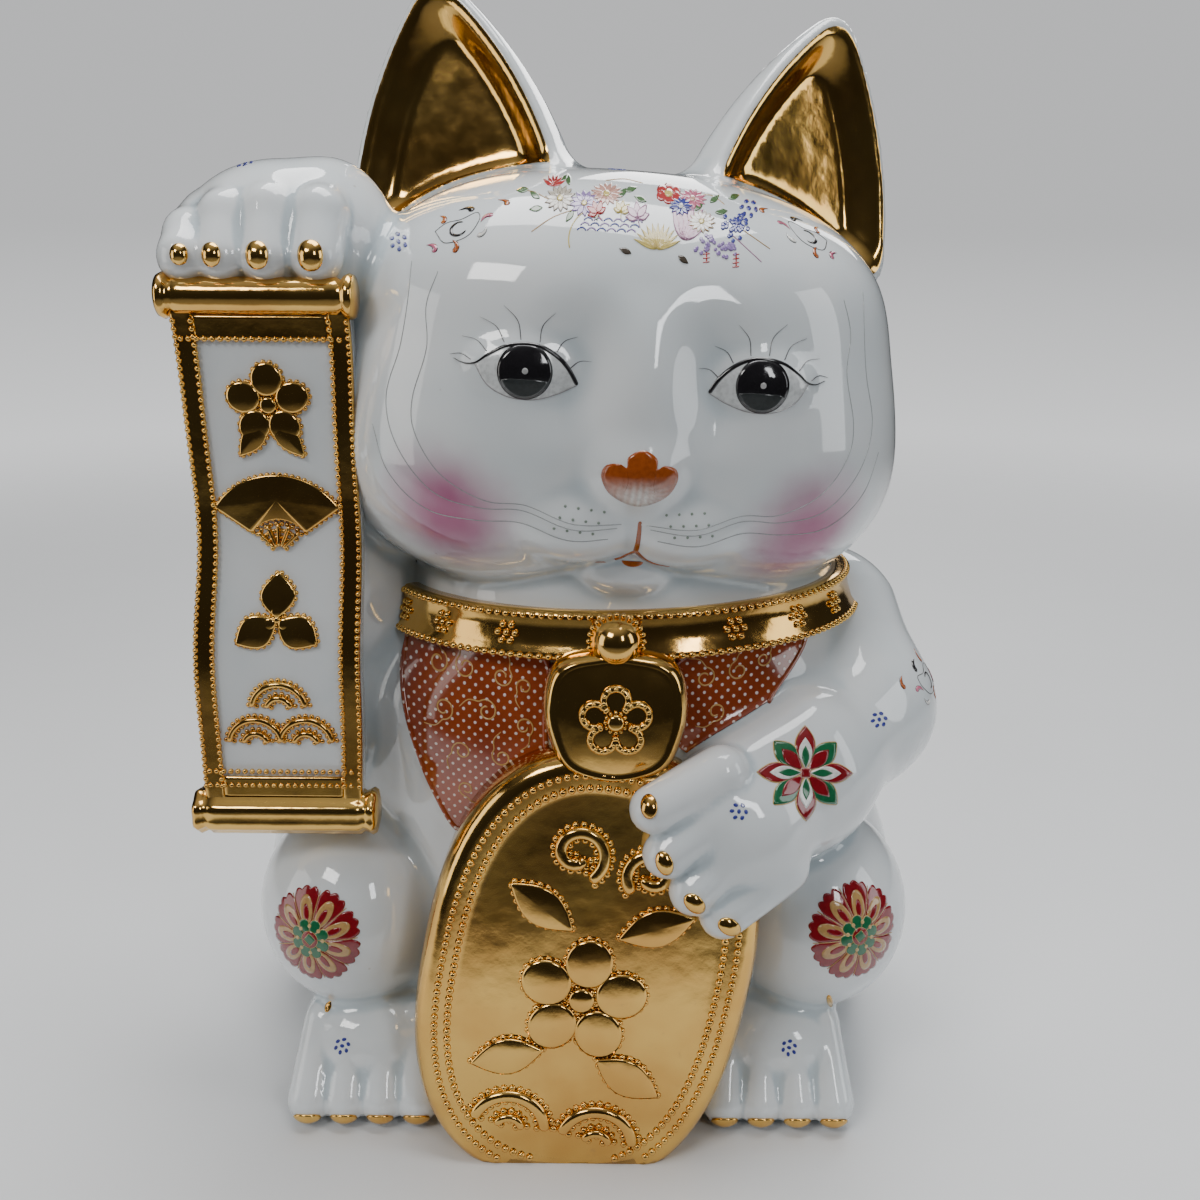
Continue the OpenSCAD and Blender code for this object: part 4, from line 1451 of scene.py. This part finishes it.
def build_bib(settings):
    enamel = bib_material(settings)
    gilt_lines = enamel_material("painted_tendrils", 0.3)
    body = part_of("body_casting")
    body = body.clipped(body.rows[:, 1] + 25)
    for side, corners in BIB_PANELS.items():
        outline = smooth_path(corners, 6, closed=True)
        x, z = body.rows[:, 0], body.rows[:, 2]
        part = body.clipped(outline_distance(x, z, outline))
        points, faces, normals = part.shell(BIB_RISE, 0.5)
        panel = make_mesh(f"bib_{side}_enamel", points, faces, normals)
        settle(panel, enamel, "red_enamel", f"bib_{side}")

        put = skin_surface((0, -60, 0), (0, 1, 0))
        edge = Relief(put)
        rim = along(np.vstack([outline, outline[:1]]), 0.8)
        seen = on_body(put(*rim.T, np.zeros(len(rim))))
        start = int(np.argmin(seen))
        rim, seen = np.roll(rim, -start, 0), np.roll(seen, -start)
        for run in np.split(np.arange(len(rim)), np.flatnonzero(np.diff(seen)) + 1):
            if seen[run[0]] and len(run) > 4:
                edge.stroke(rim[run], 1.5, BIB_RISE + 0.5, settings.bib_colour, profile=ROUND_TOP, pitch=0.8)
        build_relief(f"bib_{side}_moulded_edge", [edge], enamel, "red_enamel")

        curls = Relief(raised(put, BIB_RISE - 0.02))
        for cx, cz, size, mirror, turn in BIB_CURLS[side]:
            line = curl((cx, cz), size, mirror, turn)
            if on_body(put(*line.T, np.zeros(len(line)))).all():
                curls.stroke(line, 0.62, 0.16, settings.tendril_colour, pitch=0.4, taper=(0.3, 0.6))
        build_relief(f"bib_{side}_tendrils", [curls], gilt_lines, "red_enamel", tinted=True)


# ---------------------------------------------------------------- painted decoration

INK = (0.012, 0.011, 0.013)
EYE_WHITE = (0.70, 0.725, 0.73)
LASH = (0.10, 0.10, 0.11)
HAIR = (0.36, 0.38, 0.39)
RUST = (0.36, 0.075, 0.010)
DEEP_RED = (0.24, 0.006, 0.012)
TAN = (0.50, 0.30, 0.11)
GREEN = (0.012, 0.14, 0.055)
OLD_GOLD = (0.62, 0.42, 0.16)
BLUE = (0.035, 0.045, 0.30)
PINK = (0.62, 0.16, 0.26)
ORANGE = (0.48, 0.11, 0.015)
LILAC = (0.30, 0.20, 0.48)
MAUVE = (0.50, 0.25, 0.40)
YELLOW = (0.72, 0.58, 0.16)
WHITE = (0.80, 0.80, 0.77)
PEACH = (0.62, 0.33, 0.26)
LEAF = (0.08, 0.17, 0.06)
SCARLET = (0.48, 0.03, 0.03)

LIFT = 0.11


def laid_on(at, roll=0.0):
    """A relief drawn flat on to the porcelain as it is seen from the front."""
    at = np.asarray(at, float)
    return Relief(skin_surface(at, at - np.array(CAMERA_AT) / MM, roll=roll))


def blue_dots(at, roll=0.0, towards=None):
    relief = Relief(skin_surface(at, towards, roll=roll)) if towards else laid_on(at, roll)
    places = np.vstack([[(0, 0)], arc((0, 0), 1.75, 0, 300, 6)])
    for k, (u, v) in enumerate(places):
        relief.fill(placed(oval(0.95, 1.25, 2, 9), (u, v), 25 * k), LIFT, BLUE, centre=(u, v))
    return relief


LID = ((-12.4, -2.7), (-10.2, 0.8), (-7.6, 3.4), (-4.0, 5.4), (0.0, 6.0), (4.8, 5.2), (8.8, 2.9), (11.4, 1.0),
       (14.0, 0.6), (16.6, 1.5))
LOWER_LID = ((-12.4, -2.7), (-8.0, -4.9), (-2.5, -6.5), (3.5, -6.2), (8.5, -3.8), (11.6, 0.7))
LASHES = ((12.5, 26, 5.0), (8.9, 44, 6.6), (5.0, 60, 7.8), (1.2, 78, 8.6), (-3.2, 98, 7.6), (-7.2, 124, 6.0),
          (-10.6, 142, 5.2))
EYE_AT = (28.0, -60.0, 3.4)
IRIS = 6.4


def paint_eye(side):
    turn = turned(*HEAD_TURN)
    relief = Relief(skin_surface(on_head(side * EYE_AT[0], *EYE_AT[1:]), turn[:, 1], turn[:, 2]))
    mirror = np.array([side, 1])
    lid = smooth_path(LID, 6)
    lower = smooth_path(LOWER_LID, 6)
    over = lid[(lid[:, 0] > LID[0][0]) & (lid[:, 0] < LOWER_LID[-1][0])]
    almond = np.vstack([lower, over[::-1]])
    relief.fill(almond * mirror, LIFT, EYE_WHITE, centre=(0, -0.6))
    iris = arc((0, -0.2), IRIS, 0, 354, 60)
    iris[:, 1] = np.minimum(iris[:, 1], np.interp(iris[:, 0], lid[:, 0], lid[:, 1]) + 0.1)
    iris[:, 1] = np.maximum(iris[:, 1], np.interp(iris[:, 0], lower[:, 0], lower[:, 1]) - 0.1)
    relief.fill(iris * mirror, LIFT + 0.06, INK, centre=(0, -0.4))
    # Painted glow: the lower crescent of the iris is painted a little lighter than the ink, as light shows in
    # an eye.
    painted_iris_glow = np.vstack([arc((0, -0.2), IRIS - 0.5, 200, 340, 24), [(3.2, -1.9), (-3.2, -1.9)]])
    relief.fill(painted_iris_glow * mirror, LIFT + 0.1, (0.035, 0.04, 0.04), centre=(0, -3.6))
    relief.disc((0, 0), 0.72, LIFT + 0.14, (0.42, 0.42, 0.42))
    relief.stroke(lower * mirror, 0.32, LIFT + 0.1, (0.38, 0.36, 0.37), taper=(0.5, 0.5), pitch=0.6)
    relief.stroke(lid * mirror, 1.5, LIFT + 0.18, INK, taper=(0.35, 0.9), pitch=0.5)
    for start, lean, length in LASHES:
        foot = np.array([start, np.interp(start, lid[:, 0], lid[:, 1]) + 0.9])
        a, c = math.radians(lean), math.radians(lean + (18 if lean > 90 else -18))
        tip = foot + length * np.array([math.cos(c), math.sin(c)])
        knee = foot + 0.5 * length * np.array([math.cos(a), math.sin(a)])
        lash = smooth_path([foot, knee, tip], 6) * mirror
        relief.stroke(lash, 0.3, LIFT, LASH, taper=(0.1, 0.85), pitch=0.7)
    return relief


WHISKERS = (
    ((3, -31.4), (15, -31.6), (26.5, -28.2), (36, -27.8), (46.5, -22.6), (53, -13.6), (54, -5.6), (51, 6.4),
     (51.5, 16), (49, 24)),
    ((4, -32.4), (15, -33.0), (27, -29.6), (37, -29.8), (48.5, -27.0), (57.5, -17), (60.5, -6), (57.5, 6),
     (56, 17), (55.5, 26)),
    ((6, -35.2), (16, -35.8), (27, -32.8), (38, -33.2), (50, -31.8), (59.5, -24), (63.8, -13)))
MOUTH = 1.6


def paint_face():
    turn = turned(*HEAD_TURN)
    reliefs = [paint_eye(side) for _, side in SIDES]
    face = Relief(skin_surface(on_head(0, -62, 0), turn[:, 1], turn[:, 2]))

    def nose_tint(u, v):
        fade = np.clip((-19.0 - v) / 4.5, 0, 1) * np.clip(1.15 - np.abs(u) / 8.5, 0, 1)
        fade = (fade * (0.8 + 0.2 * np.cos(u * 4)))[:, None]
        return np.array(RUST) * (1 - fade) + np.array(WHITE) * fade
    nose = [(-9, -19.8), (-8.3, -16.8), (-5.4, -15.9), (-3.6, -16.6), (-3.3, -14.2), (0, -12.4), (3.3, -14.2),
            (3.6, -16.6), (5.4, -15.9), (8.3, -16.8), (9, -19.8), (6.4, -23.8), (0, -26.2), (-6.4, -23.8)]
    face.fill(smooth_path(nose, 5, closed=True), LIFT, nose_tint, centre=(0, -19.2))
    for s in (-1, 1):
        nostril = smooth_path([(s * 3.4, -17.4), (s * 3.0, -20.2), (s * 3.6, -22.6)], 6)
        face.stroke(nostril, 0.35, LIFT + 0.03, [c * 0.7 for c in RUST], taper=(0.2, 0.9))
        for line in WHISKERS:
            face.stroke(smooth_path(line, 8) * (s, 1), 0.3, LIFT, HAIR, taper=(0.4, 0.5), pitch=1.0)
        for row in range(3):
            for k in range(4):
                spot_at = (s * (7.5 + 3.1 * k + 1.2 * row), -28.4 - 2.7 * row + 0.25 * k)
                face.disc(spot_at, 0.36, LIFT, (0.25, 0.31, 0.26), count=7)
        smile = [(MOUTH + s * u, v) for u, v in ((0.2, -39.2), (2.8, -41.6), (6.2, -43.0), (9.4, -43.4))]
        face.stroke(smooth_path(smile, 6), 1.0, LIFT + 0.05, RUST, taper=(0.0, 0.85), pitch=0.4)
    cleft = smooth_path([(MOUTH - 0.2, -30.4), (MOUTH, -35.0), (MOUTH, -39.8)], 6)
    face.stroke(cleft, 1.25, LIFT, RUST, taper=(0.3, 0.0), pitch=0.5)
    lip = arc((0, 0), 2.7, 180, 360, 14) * (1, 0.55) + (MOUTH, -42.6)
    face.fill(lip, LIFT, ORANGE, centre=(MOUTH, -43.2))
    return [*reliefs, face]


def scalloped_petal(inner, outer, spread, lobes=3):
    a = np.linspace(-spread, spread, 25)
    t = a / spread
    r = outer - 1.5 * t ** 4 - 0.06 * outer * (1 - np.abs(np.cos(t * math.pi * lobes / 2)))
    rim = np.stack([r * np.sin(a), r * np.cos(a)], 1)
    a = np.linspace(spread * 0.9, -spread * 0.9, 5)
    return np.vstack([rim, np.stack([inner * np.sin(a), inner * np.cos(a)], 1)])


def diamond(reach, turn=0.0):
    """A square on its point, closed."""
    return placed([(reach, 0), (0, reach), (-reach, 0), (0, -reach), (reach, 0)], turn=turn)


def paint_medallion(relief):
    """Scalloped red petals with tan loops round a green flower."""
    petals, size = 9, 13.6
    step = 360 / petals
    spread = math.radians(step / 2) * 0.985
    for k in range(petals):
        turn = step * k + 8
        relief.fill(placed(scalloped_petal(4.2, size, spread), turn=turn), LIFT, DEEP_RED)
        relief.stroke(placed([(spread * 4.4, 4.4), (spread * size * 0.9, size * 0.88)], turn=turn), 0.26,
                      LIFT + 0.05, TAN)
        relief.fill(placed(oval(3.9, 7.2, 2.2, 24), placed([(0, 7.9)], turn=turn)[0], turn), LIFT + 0.06, TAN)
        heart = placed(oval(1.7, 4.4, 2.0, 18), placed([(0, 7.2)], turn=turn)[0], turn)
        relief.fill(heart, LIFT + 0.11, DEEP_RED)
    for k in range(8):
        turn = 45 * k + 20
        edge = placed(scalloped_petal(1.5, 5.7, math.radians(22), 1), turn=turn)
        relief.fill(edge, LIFT + 0.15, GREEN)
        relief.stroke(edge, 0.26, LIFT + 0.19, OLD_GOLD, pitch=0.5)
        relief.stroke(placed([(0, 2.3), (0, 3.5)], turn=turn + 22), 0.34, LIFT + 0.17, OLD_GOLD)
        relief.disc(placed([(0, 3.8)], turn=turn + 22)[0], 0.55, LIFT + 0.18, OLD_GOLD, count=9)
    relief.disc((0, 0), 2.4, LIFT + 0.18, DEEP_RED, count=20)
    relief.stroke(arc((0, 0), 2.4, 0, 360, 25), 0.36, LIFT + 0.22, OLD_GOLD)
    relief.fill(diamond(1.7)[:-1], LIFT + 0.21, GREEN)
    relief.stroke(diamond(1.8), 0.32, LIFT + 0.24, OLD_GOLD)


def paint_star(relief):
    """Four red petals with white and green leaves inside, and four green ones with red leaves."""
    size = 11.5
    for k in range(8):
        upright = k % 2 == 0
        turn = 45 * k + 4
        outer, inner = (DEEP_RED, WHITE) if upright else (GREEN, DEEP_RED)
        length = size if upright else size * 0.93
        lift = LIFT + 0.05 * upright
        blade = placed(petal(length, 4.9 if upright else 5.4, 1.25, base=0.6), turn=turn)
        relief.stroke(np.vstack([blade, blade[:1]]), 0.5, lift + 0.02, OLD_GOLD, pitch=0.6)
        relief.fill(blade, lift + 0.04, outer)
        relief.fill(placed(petal(length * 0.72, 3.4, 1.15, base=0.8), turn=turn), lift + 0.08, inner)
        if upright:
            relief.fill(placed(petal(length * 0.5, 1.9, 1.1, base=1.2), turn=turn), LIFT + 0.17, GREEN)
    relief.fill(diamond(1.5, 49)[:-1], LIFT + 0.2, DEEP_RED)
    relief.stroke(diamond(1.6, 49), 0.4, LIFT + 0.23, PEACH)


def comma(relief, at, turn, size, tint, mirror):
    """A comma-shaped leaf with a thin dark outline."""
    stem = smooth_path([(0, 0), (0.35 * mirror, 0.7), (0, 1.5), (-0.9 * mirror, 2.1)], 6)
    path = placed(stem, at, turn, size)
    relief.stroke(path, size * 1.05, LIFT, INK, taper=(0.0, 0.95), pitch=0.35)
    relief.stroke(path, size * 0.8, LIFT + 0.05, tint, taper=(0.0, 0.98), pitch=0.35)


def paint_scrolls(relief, mirror):
    """A dark crescent with comma leaves turned round it."""
    start, stop = (60, 330) if mirror > 0 else (-120, 120)
    relief.stroke(arc((0, 0), 2.1, start, stop, 20), 1.7, LIFT, INK, taper=(0.75, 0.75), pitch=0.4)
    wave = [(-6.2, 1.4), (-3.2, 3.1), (0.5, 2.9), (4.4, 4.2), (5.0, 1.2), (2.2, -3.0), (-3.4, -3.3),
            (-6.2, 1.4)]
    relief.stroke(smooth_path(wave, 8) * (mirror, 1), 0.22, LIFT, INK, pitch=0.5)
    leaves = ((3.0, 4.9, 40, 1.7, INK), (-4.6, 3.4, -10, 1.5, ORANGE), (8.4, 2.0, 95, 1.5, PINK),
              (11.4, 5.0, 15, 1.5, ORANGE), (-6.4, -5.0, 10, 1.6, PINK), (-1.4, -6.6, -20, 1.6, ORANGE),
              (4.6, -3.4, -70, 1.4, WHITE))
    for u, v, turn, size, tint in leaves:
        comma(relief, (mirror * u, v), mirror * turn, size, tint, mirror)


def bloom(relief, at, size, petals, tint, heart, edge=None, lift=0.0, squash=1.0):
    """A round flower of pointed petals."""
    for k in range(petals):
        blade = placed(petal(size, size * 5.2 / petals, 0.8, base=size * 0.12), turn=360 / petals * k + 9)
        blade = blade * (1, squash) + at
        relief.fill(blade, LIFT + lift + 0.01 * (k % 2), tint)
        if edge is not None:
            relief.stroke(np.vstack([blade, blade[:1]]), 0.2, LIFT + lift + 0.04, edge, pitch=0.5)
    relief.disc(at, size * 0.22, LIFT + lift + 0.07, heart, count=9)


def maple(relief, at, size, turn, tint, lift=0.0):
    """A five-fingered leaf with a stalk."""
    for k, reach in ((-2, 0.72), (-1, 0.95), (0, 1.0), (1, 0.95), (2, 0.72)):
        blade = petal(size * reach, size * 0.42, 0.8)
        relief.fill(placed(blade, at, turn + 38 * k), LIFT + lift + 0.01 * (k % 2), tint)
    relief.stroke(placed([(0, 0), (0.1 * size, -0.5 * size)], at, turn), 0.22, LIFT + lift, tint)


def leaf(relief, at, size, turn, tint=LEAF, lift=0.0):
    relief.fill(placed(petal(size, size * 0.42, 0.9), at, turn), LIFT + lift, tint)


def grapes(relief, at, reach, count, tint, rng, lift=0.0):
    for _ in range(count):
        u, v = rng.normal(0, 0.42, 2) * reach + at
        relief.disc((u, v), rng.uniform(0.38, 0.6), LIFT + lift, tint, count=7)


def paint_bouquet(relief):
    """Chrysanthemums, maple leaves, a spread fan and trailing wisteria."""
    rng = np.random.default_rng(12)
    for u, v, turn in ((-27, 2.6, 60), (-26, 0.6, 100), (-20.5, 6.0, 20), (-23, 6.3, -30), (-18.6, 0.4, 150),
                       (-14, 1.2, 200), (-7.2, 5.2, -70), (-8.6, 3.6, -40), (-1.8, 3.0, 70), (9.8, 1.4, -40),
                       (14.6, 1.2, -80), (13.4, 3.4, -50), (-30, 4.6, 95), (18, 4.6, -70)):
        leaf(relief, (u, v), 3.2, turn)
    for u0, v0, u1, v1 in ((-33, 4.4, -25, 2.6), (-28, -4.8, -19, 0.4), (-12, 7.6, -3, 7.4),
                           (12, 5.4, 17, 3.2)):
        twig = smooth_path([(u0, v0), ((u0 + u1) / 2, (v0 + v1) / 2 + 0.7), (u1, v1)])
        relief.stroke(twig, 0.24, LIFT, TAN)
    for turn in range(-60, 61, 24):
        relief.fill(placed(petal(3.3, 0.9, 0.8), (-24.4, 5.6), turn), LIFT + 0.02, SCARLET)
    bloom(relief, (-22.2, 2.9), 3.3, 14, (0.55, 0.50, 0.40), YELLOW, (0.12, 0.07, 0.04), 0.03, 0.85)
    bloom(relief, (-16.4, 2.0), 3.1, 12, LILAC, YELLOW, None, 0.05, 0.9)
    bloom(relief, (-11.4, 4.4), 3.5, 16, PEACH, YELLOW, None, 0.04, 0.7)
    maple(relief, (-13.0, -0.2), 3.3, 25, SCARLET, 0.09)
    maple(relief, (-7.6, 0.4), 2.8, -8, YELLOW, 0.1)
    maple(relief, (-3.6, -0.9), 4.1, 8, MAUVE, 0.11)
    for row in range(3):
        for k in range(6):
            at = (-16.4 + 2.3 * k + 0.7 * row, -4.4 + 1.1 * row)
            relief.stroke(arc(at, 1.1, 20, 160, 8), 0.34, LIFT + 0.02, LILAC if (row + k) % 2 else BLUE)
    relief.stroke(arc((-12.4, -5.6), 6.8, 120, 200, 14), 0.28, LIFT + 0.03, YELLOW)
    for turn in range(-70, 71, 14):
        relief.fill(placed(petal(5.8, 1.15, 0.7), (1.2, -7.4), turn), LIFT + 0.06, YELLOW)
        relief.stroke(placed([(0, 0.4), (0, 5.4)], (1.2, -7.4), turn), 0.16, LIFT + 0.11, TAN)
    for u, turn in ((-4.6, 70), (6.2, -125)):
        leaf(relief, (u, -8.6), 3.0, turn, (0.06, 0.045, 0.03), 0.06)
    for turn in range(-34, 35, 17):
        relief.fill(placed(petal(8.6, 2.5, 0.7), (7.4, -5.2), turn - 14), LIFT + 0.03, MAUVE)
        relief.stroke(placed([(0, 1.0), (0, 8.0)], (7.4, -5.2), turn - 14), 0.15, LIFT + 0.08, PINK)
    plum = np.array([3.4, 5.2])
    for turn in range(0, 360, 60):
        relief.disc(plum + placed([(0, 1.9)], turn=turn)[0] * (1, 0.7), 1.25, LIFT + 0.05, SCARLET)
    relief.disc(plum, 1.0, LIFT + 0.1, YELLOW)
    bloom(relief, (9.2, 4.2), 3.1, 14, PINK, PEACH, None, 0.05, 0.7)
    bloom(relief, (6.4, 2.2), 2.5, 12, BLUE, WHITE, None, 0.12, 0.8)
    bloom(relief, (11.4, -1.0), 2.9, 14, WHITE, YELLOW, TAN, 0.12, 0.8)
    grapes(relief, (19.4, -1.6), 3.6, 42, BLUE, rng, 0.04)
    grapes(relief, (12.8, -5.4), 2.6, 20, LILAC, rng, 0.04)
    grapes(relief, (17.4, -6.4), 2.6, 22, LILAC, rng, 0.04)
    for u, v in ((12.8, -8.4), (19.8, -9.2)):
        relief.stroke([(u, v + 1.8), (u + 0.1, v - 1.6)], 0.3, LIFT, SCARLET)
        for k in range(4):
            relief.stroke([(u - 0.8, v + 1.2 - 0.9 * k), (u + 0.8, v + 1.4 - 0.9 * k)], 0.3, LIFT, SCARLET)
    relief.stroke(smooth_path([(18, -3), (22, -6.2), (26, -9.4)]), 0.22, LIFT, MAUVE)
    relief.stroke(smooth_path([(19, -1), (24, -4.0), (28, -6.4)]), 0.22, LIFT, TAN)


def build_paint():
    enamel = enamel_material("painted_enamel")
    build_relief("painted_face", paint_face(), enamel, "white_glaze", tinted=True)

    bouquet = laid_on((17.8, -40, 246.7), -2)
    paint_bouquet(bouquet)
    scrolls = []
    for at, ahead, mirror, roll in (((-29, -50, 243), (0.12, 0.8, -0.55), 1, 8),
                                    ((56, -42, 242), (-0.38, 0.72, -0.6), -1, -14)):
        middle = laid_on(at).put(*np.zeros((3, 1)))[0]
        scroll = Relief(skin_surface(middle, ahead, roll=roll))
        paint_scrolls(scroll, mirror)
        scrolls.append(scroll)
    build_relief("painted_brow", [bouquet, *scrolls], enamel, "white_glaze", tinted=True)

    medallions = []
    for at, ahead, roll in (((-72, -58, 57), (0.34, 0.93, 0.06), 5),
                            ((76, -57, 59), (-0.42, 0.90, 0.04), -12)):
        medallion = Relief(skin_surface(at, ahead, roll=roll))
        paint_medallion(medallion)
        medallions.append(medallion)
    build_relief("painted_medallions", medallions, enamel, "white_glaze", tinted=True)

    star = laid_on((59, -64, 109))
    paint_star(star)
    elbow = Relief(skin_surface((98, -22, 120), (-0.75, 0.65, -0.1), roll=20))
    paint_scrolls(elbow, -1)
    build_relief("painted_star_flower", [star, elbow], enamel, "white_glaze", tinted=True)

    clusters = [blue_dots(at, 17 * k) for k, at in enumerate((
        (40.2, -80, 105.7), (81.7, -45, 116.4), (-45, -41, 240), (42, -33, 248.8),
        (-66, -60, 22.6), (59.8, -60, 23.3)))]
    clusters.append(blue_dots((-84, -36, 264), towards=(0.1, 0.3, -1)))
    clusters.append(blue_dots((9, -26, 264), towards=(0, 0.5, -1)))
    build_relief("painted_blue_dots", clusters, enamel, "white_glaze", tinted=True)

    marks = []
    for at, roll in (((-70.5, -55, 31.8), -25), ((71.4, -55, 35.1), 15)):
        mark = laid_on(at, roll)
        mark.fill(oval(1.7, 3.2, 2, 14), 0.3, crown=1.5)
        marks.append(mark)
    build_relief("dewclaw_gilt_marks", marks, MADE["gold"], "gold_lustre")


# ---------------------------------------------------------------- base and stopper

def build_underside():
    """Finishes for the two parts that keep their CAD shape."""
    b = Board("bisque_foot")
    tone = b.mix(b.noise(12, 3.0), (0.62, 0.59, 0.54, 1), (0.50, 0.46, 0.41, 1))
    tone = b.mix(b.noise(0.8, 2.0).step(0.62, 0.8) * 0.5, tone, (0.30, 0.26, 0.22, 1))
    bisque = b.set(Base_Color=tone, Roughness=b.noise(3, 2.0) * 0.2 + 0.65,
                   Normal=b.bump(b.noise(0.6, 3.0), 0.12))
    b = Board("rubber")
    tone = b.mix(b.noise(4, 3.0), (0.55, 0.52, 0.45, 1), (0.42, 0.39, 0.33, 1))
    rubber = b.set(Base_Color=tone, Roughness=b.noise(2, 2.0) * 0.2 + 0.5,
                   Normal=b.bump(b.noise(0.7, 3.0), 0.08))
    for node, material in (("base_disc", bisque), ("stopper", rubber)):
        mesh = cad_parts[node].data
        mesh.materials.clear()
        mesh.materials.append(material)


# ---------------------------------------------------------------- operators

class CAT_OT_stage(bpy.types.Operator):
    """Make the floor, the lights and the camera"""
    bl_idname = "cat.stage"
    bl_label = "Stage"

    def execute(self, context):
        build_stage(context.scene.cat_stage)
        return {"FINISHED"}


class CAT_OT_castings(bpy.types.Operator):
    """Model the porcelain castings and part them along their luted seams"""
    bl_idname = "cat.castings"
    bl_label = "Porcelain castings"

    def execute(self, context):
        build_castings(context.scene.cat_casting)
        return {"FINISHED"}


class CAT_OT_gilt(bpy.types.Operator):
    """Make the gold lustre linings, claws and raised gilt parts"""
    bl_idname = "cat.gilt"
    bl_label = "Gilt parts"

    def execute(self, context):
        gold = gold_material(context.scene.cat_gilt)
        MADE["gold"] = gold
        build_ear_gilding(gold)
        build_claws(gold)
        build_coin(gold)
        build_scroll(gold, MADE["glaze"])
        build_collar(gold)
        build_bell(gold)
        build_pendant(gold)
        return {"FINISHED"}


class CAT_OT_bib(bpy.types.Operator):
    """Make the two enamelled bib panels and their tendrils"""
    bl_idname = "cat.bib"
    bl_label = "Bib"

    def execute(self, context):
        build_bib(context.scene.cat_paint)
        return {"FINISHED"}


class CAT_OT_paint(bpy.types.Operator):
    """Lay the painted face, flowers and dots on the porcelain"""
    bl_idname = "cat.paint"
    bl_label = "Painted decoration"

    def execute(self, context):
        build_paint()
        return {"FINISHED"}


class CAT_OT_underside(bpy.types.Operator):
    """Finish the bisque base and the rubber stopper"""
    bl_idname = "cat.underside"
    bl_label = "Base and stopper"

    def execute(self, context):
        build_underside()
        return {"FINISHED"}


class CAT_PT_panel(bpy.types.Panel):
    """Lists the steps that build the cat"""
    bl_idname = "CAT_PT_panel"
    bl_label = "Porcelain cat"
    bl_space_type = "VIEW_3D"
    bl_region_type = "UI"
    bl_category = "Cat"

    def draw(self, context):
        for step in STEPS:
            self.layout.operator(step.bl_idname)


STEPS = (CAT_OT_stage, CAT_OT_castings, CAT_OT_gilt, CAT_OT_bib, CAT_OT_paint, CAT_OT_underside)
GROUPS = {"cat_casting": CatCastingSettings, "cat_gilt": CatGiltSettings, "cat_paint": CatPaintSettings,
          "cat_stage": CatStageSettings}


def register():
    for item in (*GROUPS.values(), *STEPS, CAT_PT_panel):
        bpy.utils.register_class(item)
    for name, group in GROUPS.items():
        setattr(bpy.types.Scene, name, PointerProperty(type=group))


def unregister():
    for name in GROUPS:
        delattr(bpy.types.Scene, name)
    for item in (CAT_PT_panel, *reversed(STEPS), *GROUPS.values()):
        bpy.utils.unregister_class(item)


def main():
    register()
    for step in STEPS:
        getattr(bpy.ops.cat, step.bl_idname.split(".")[1])()


if __name__ == "__main__":
    main()
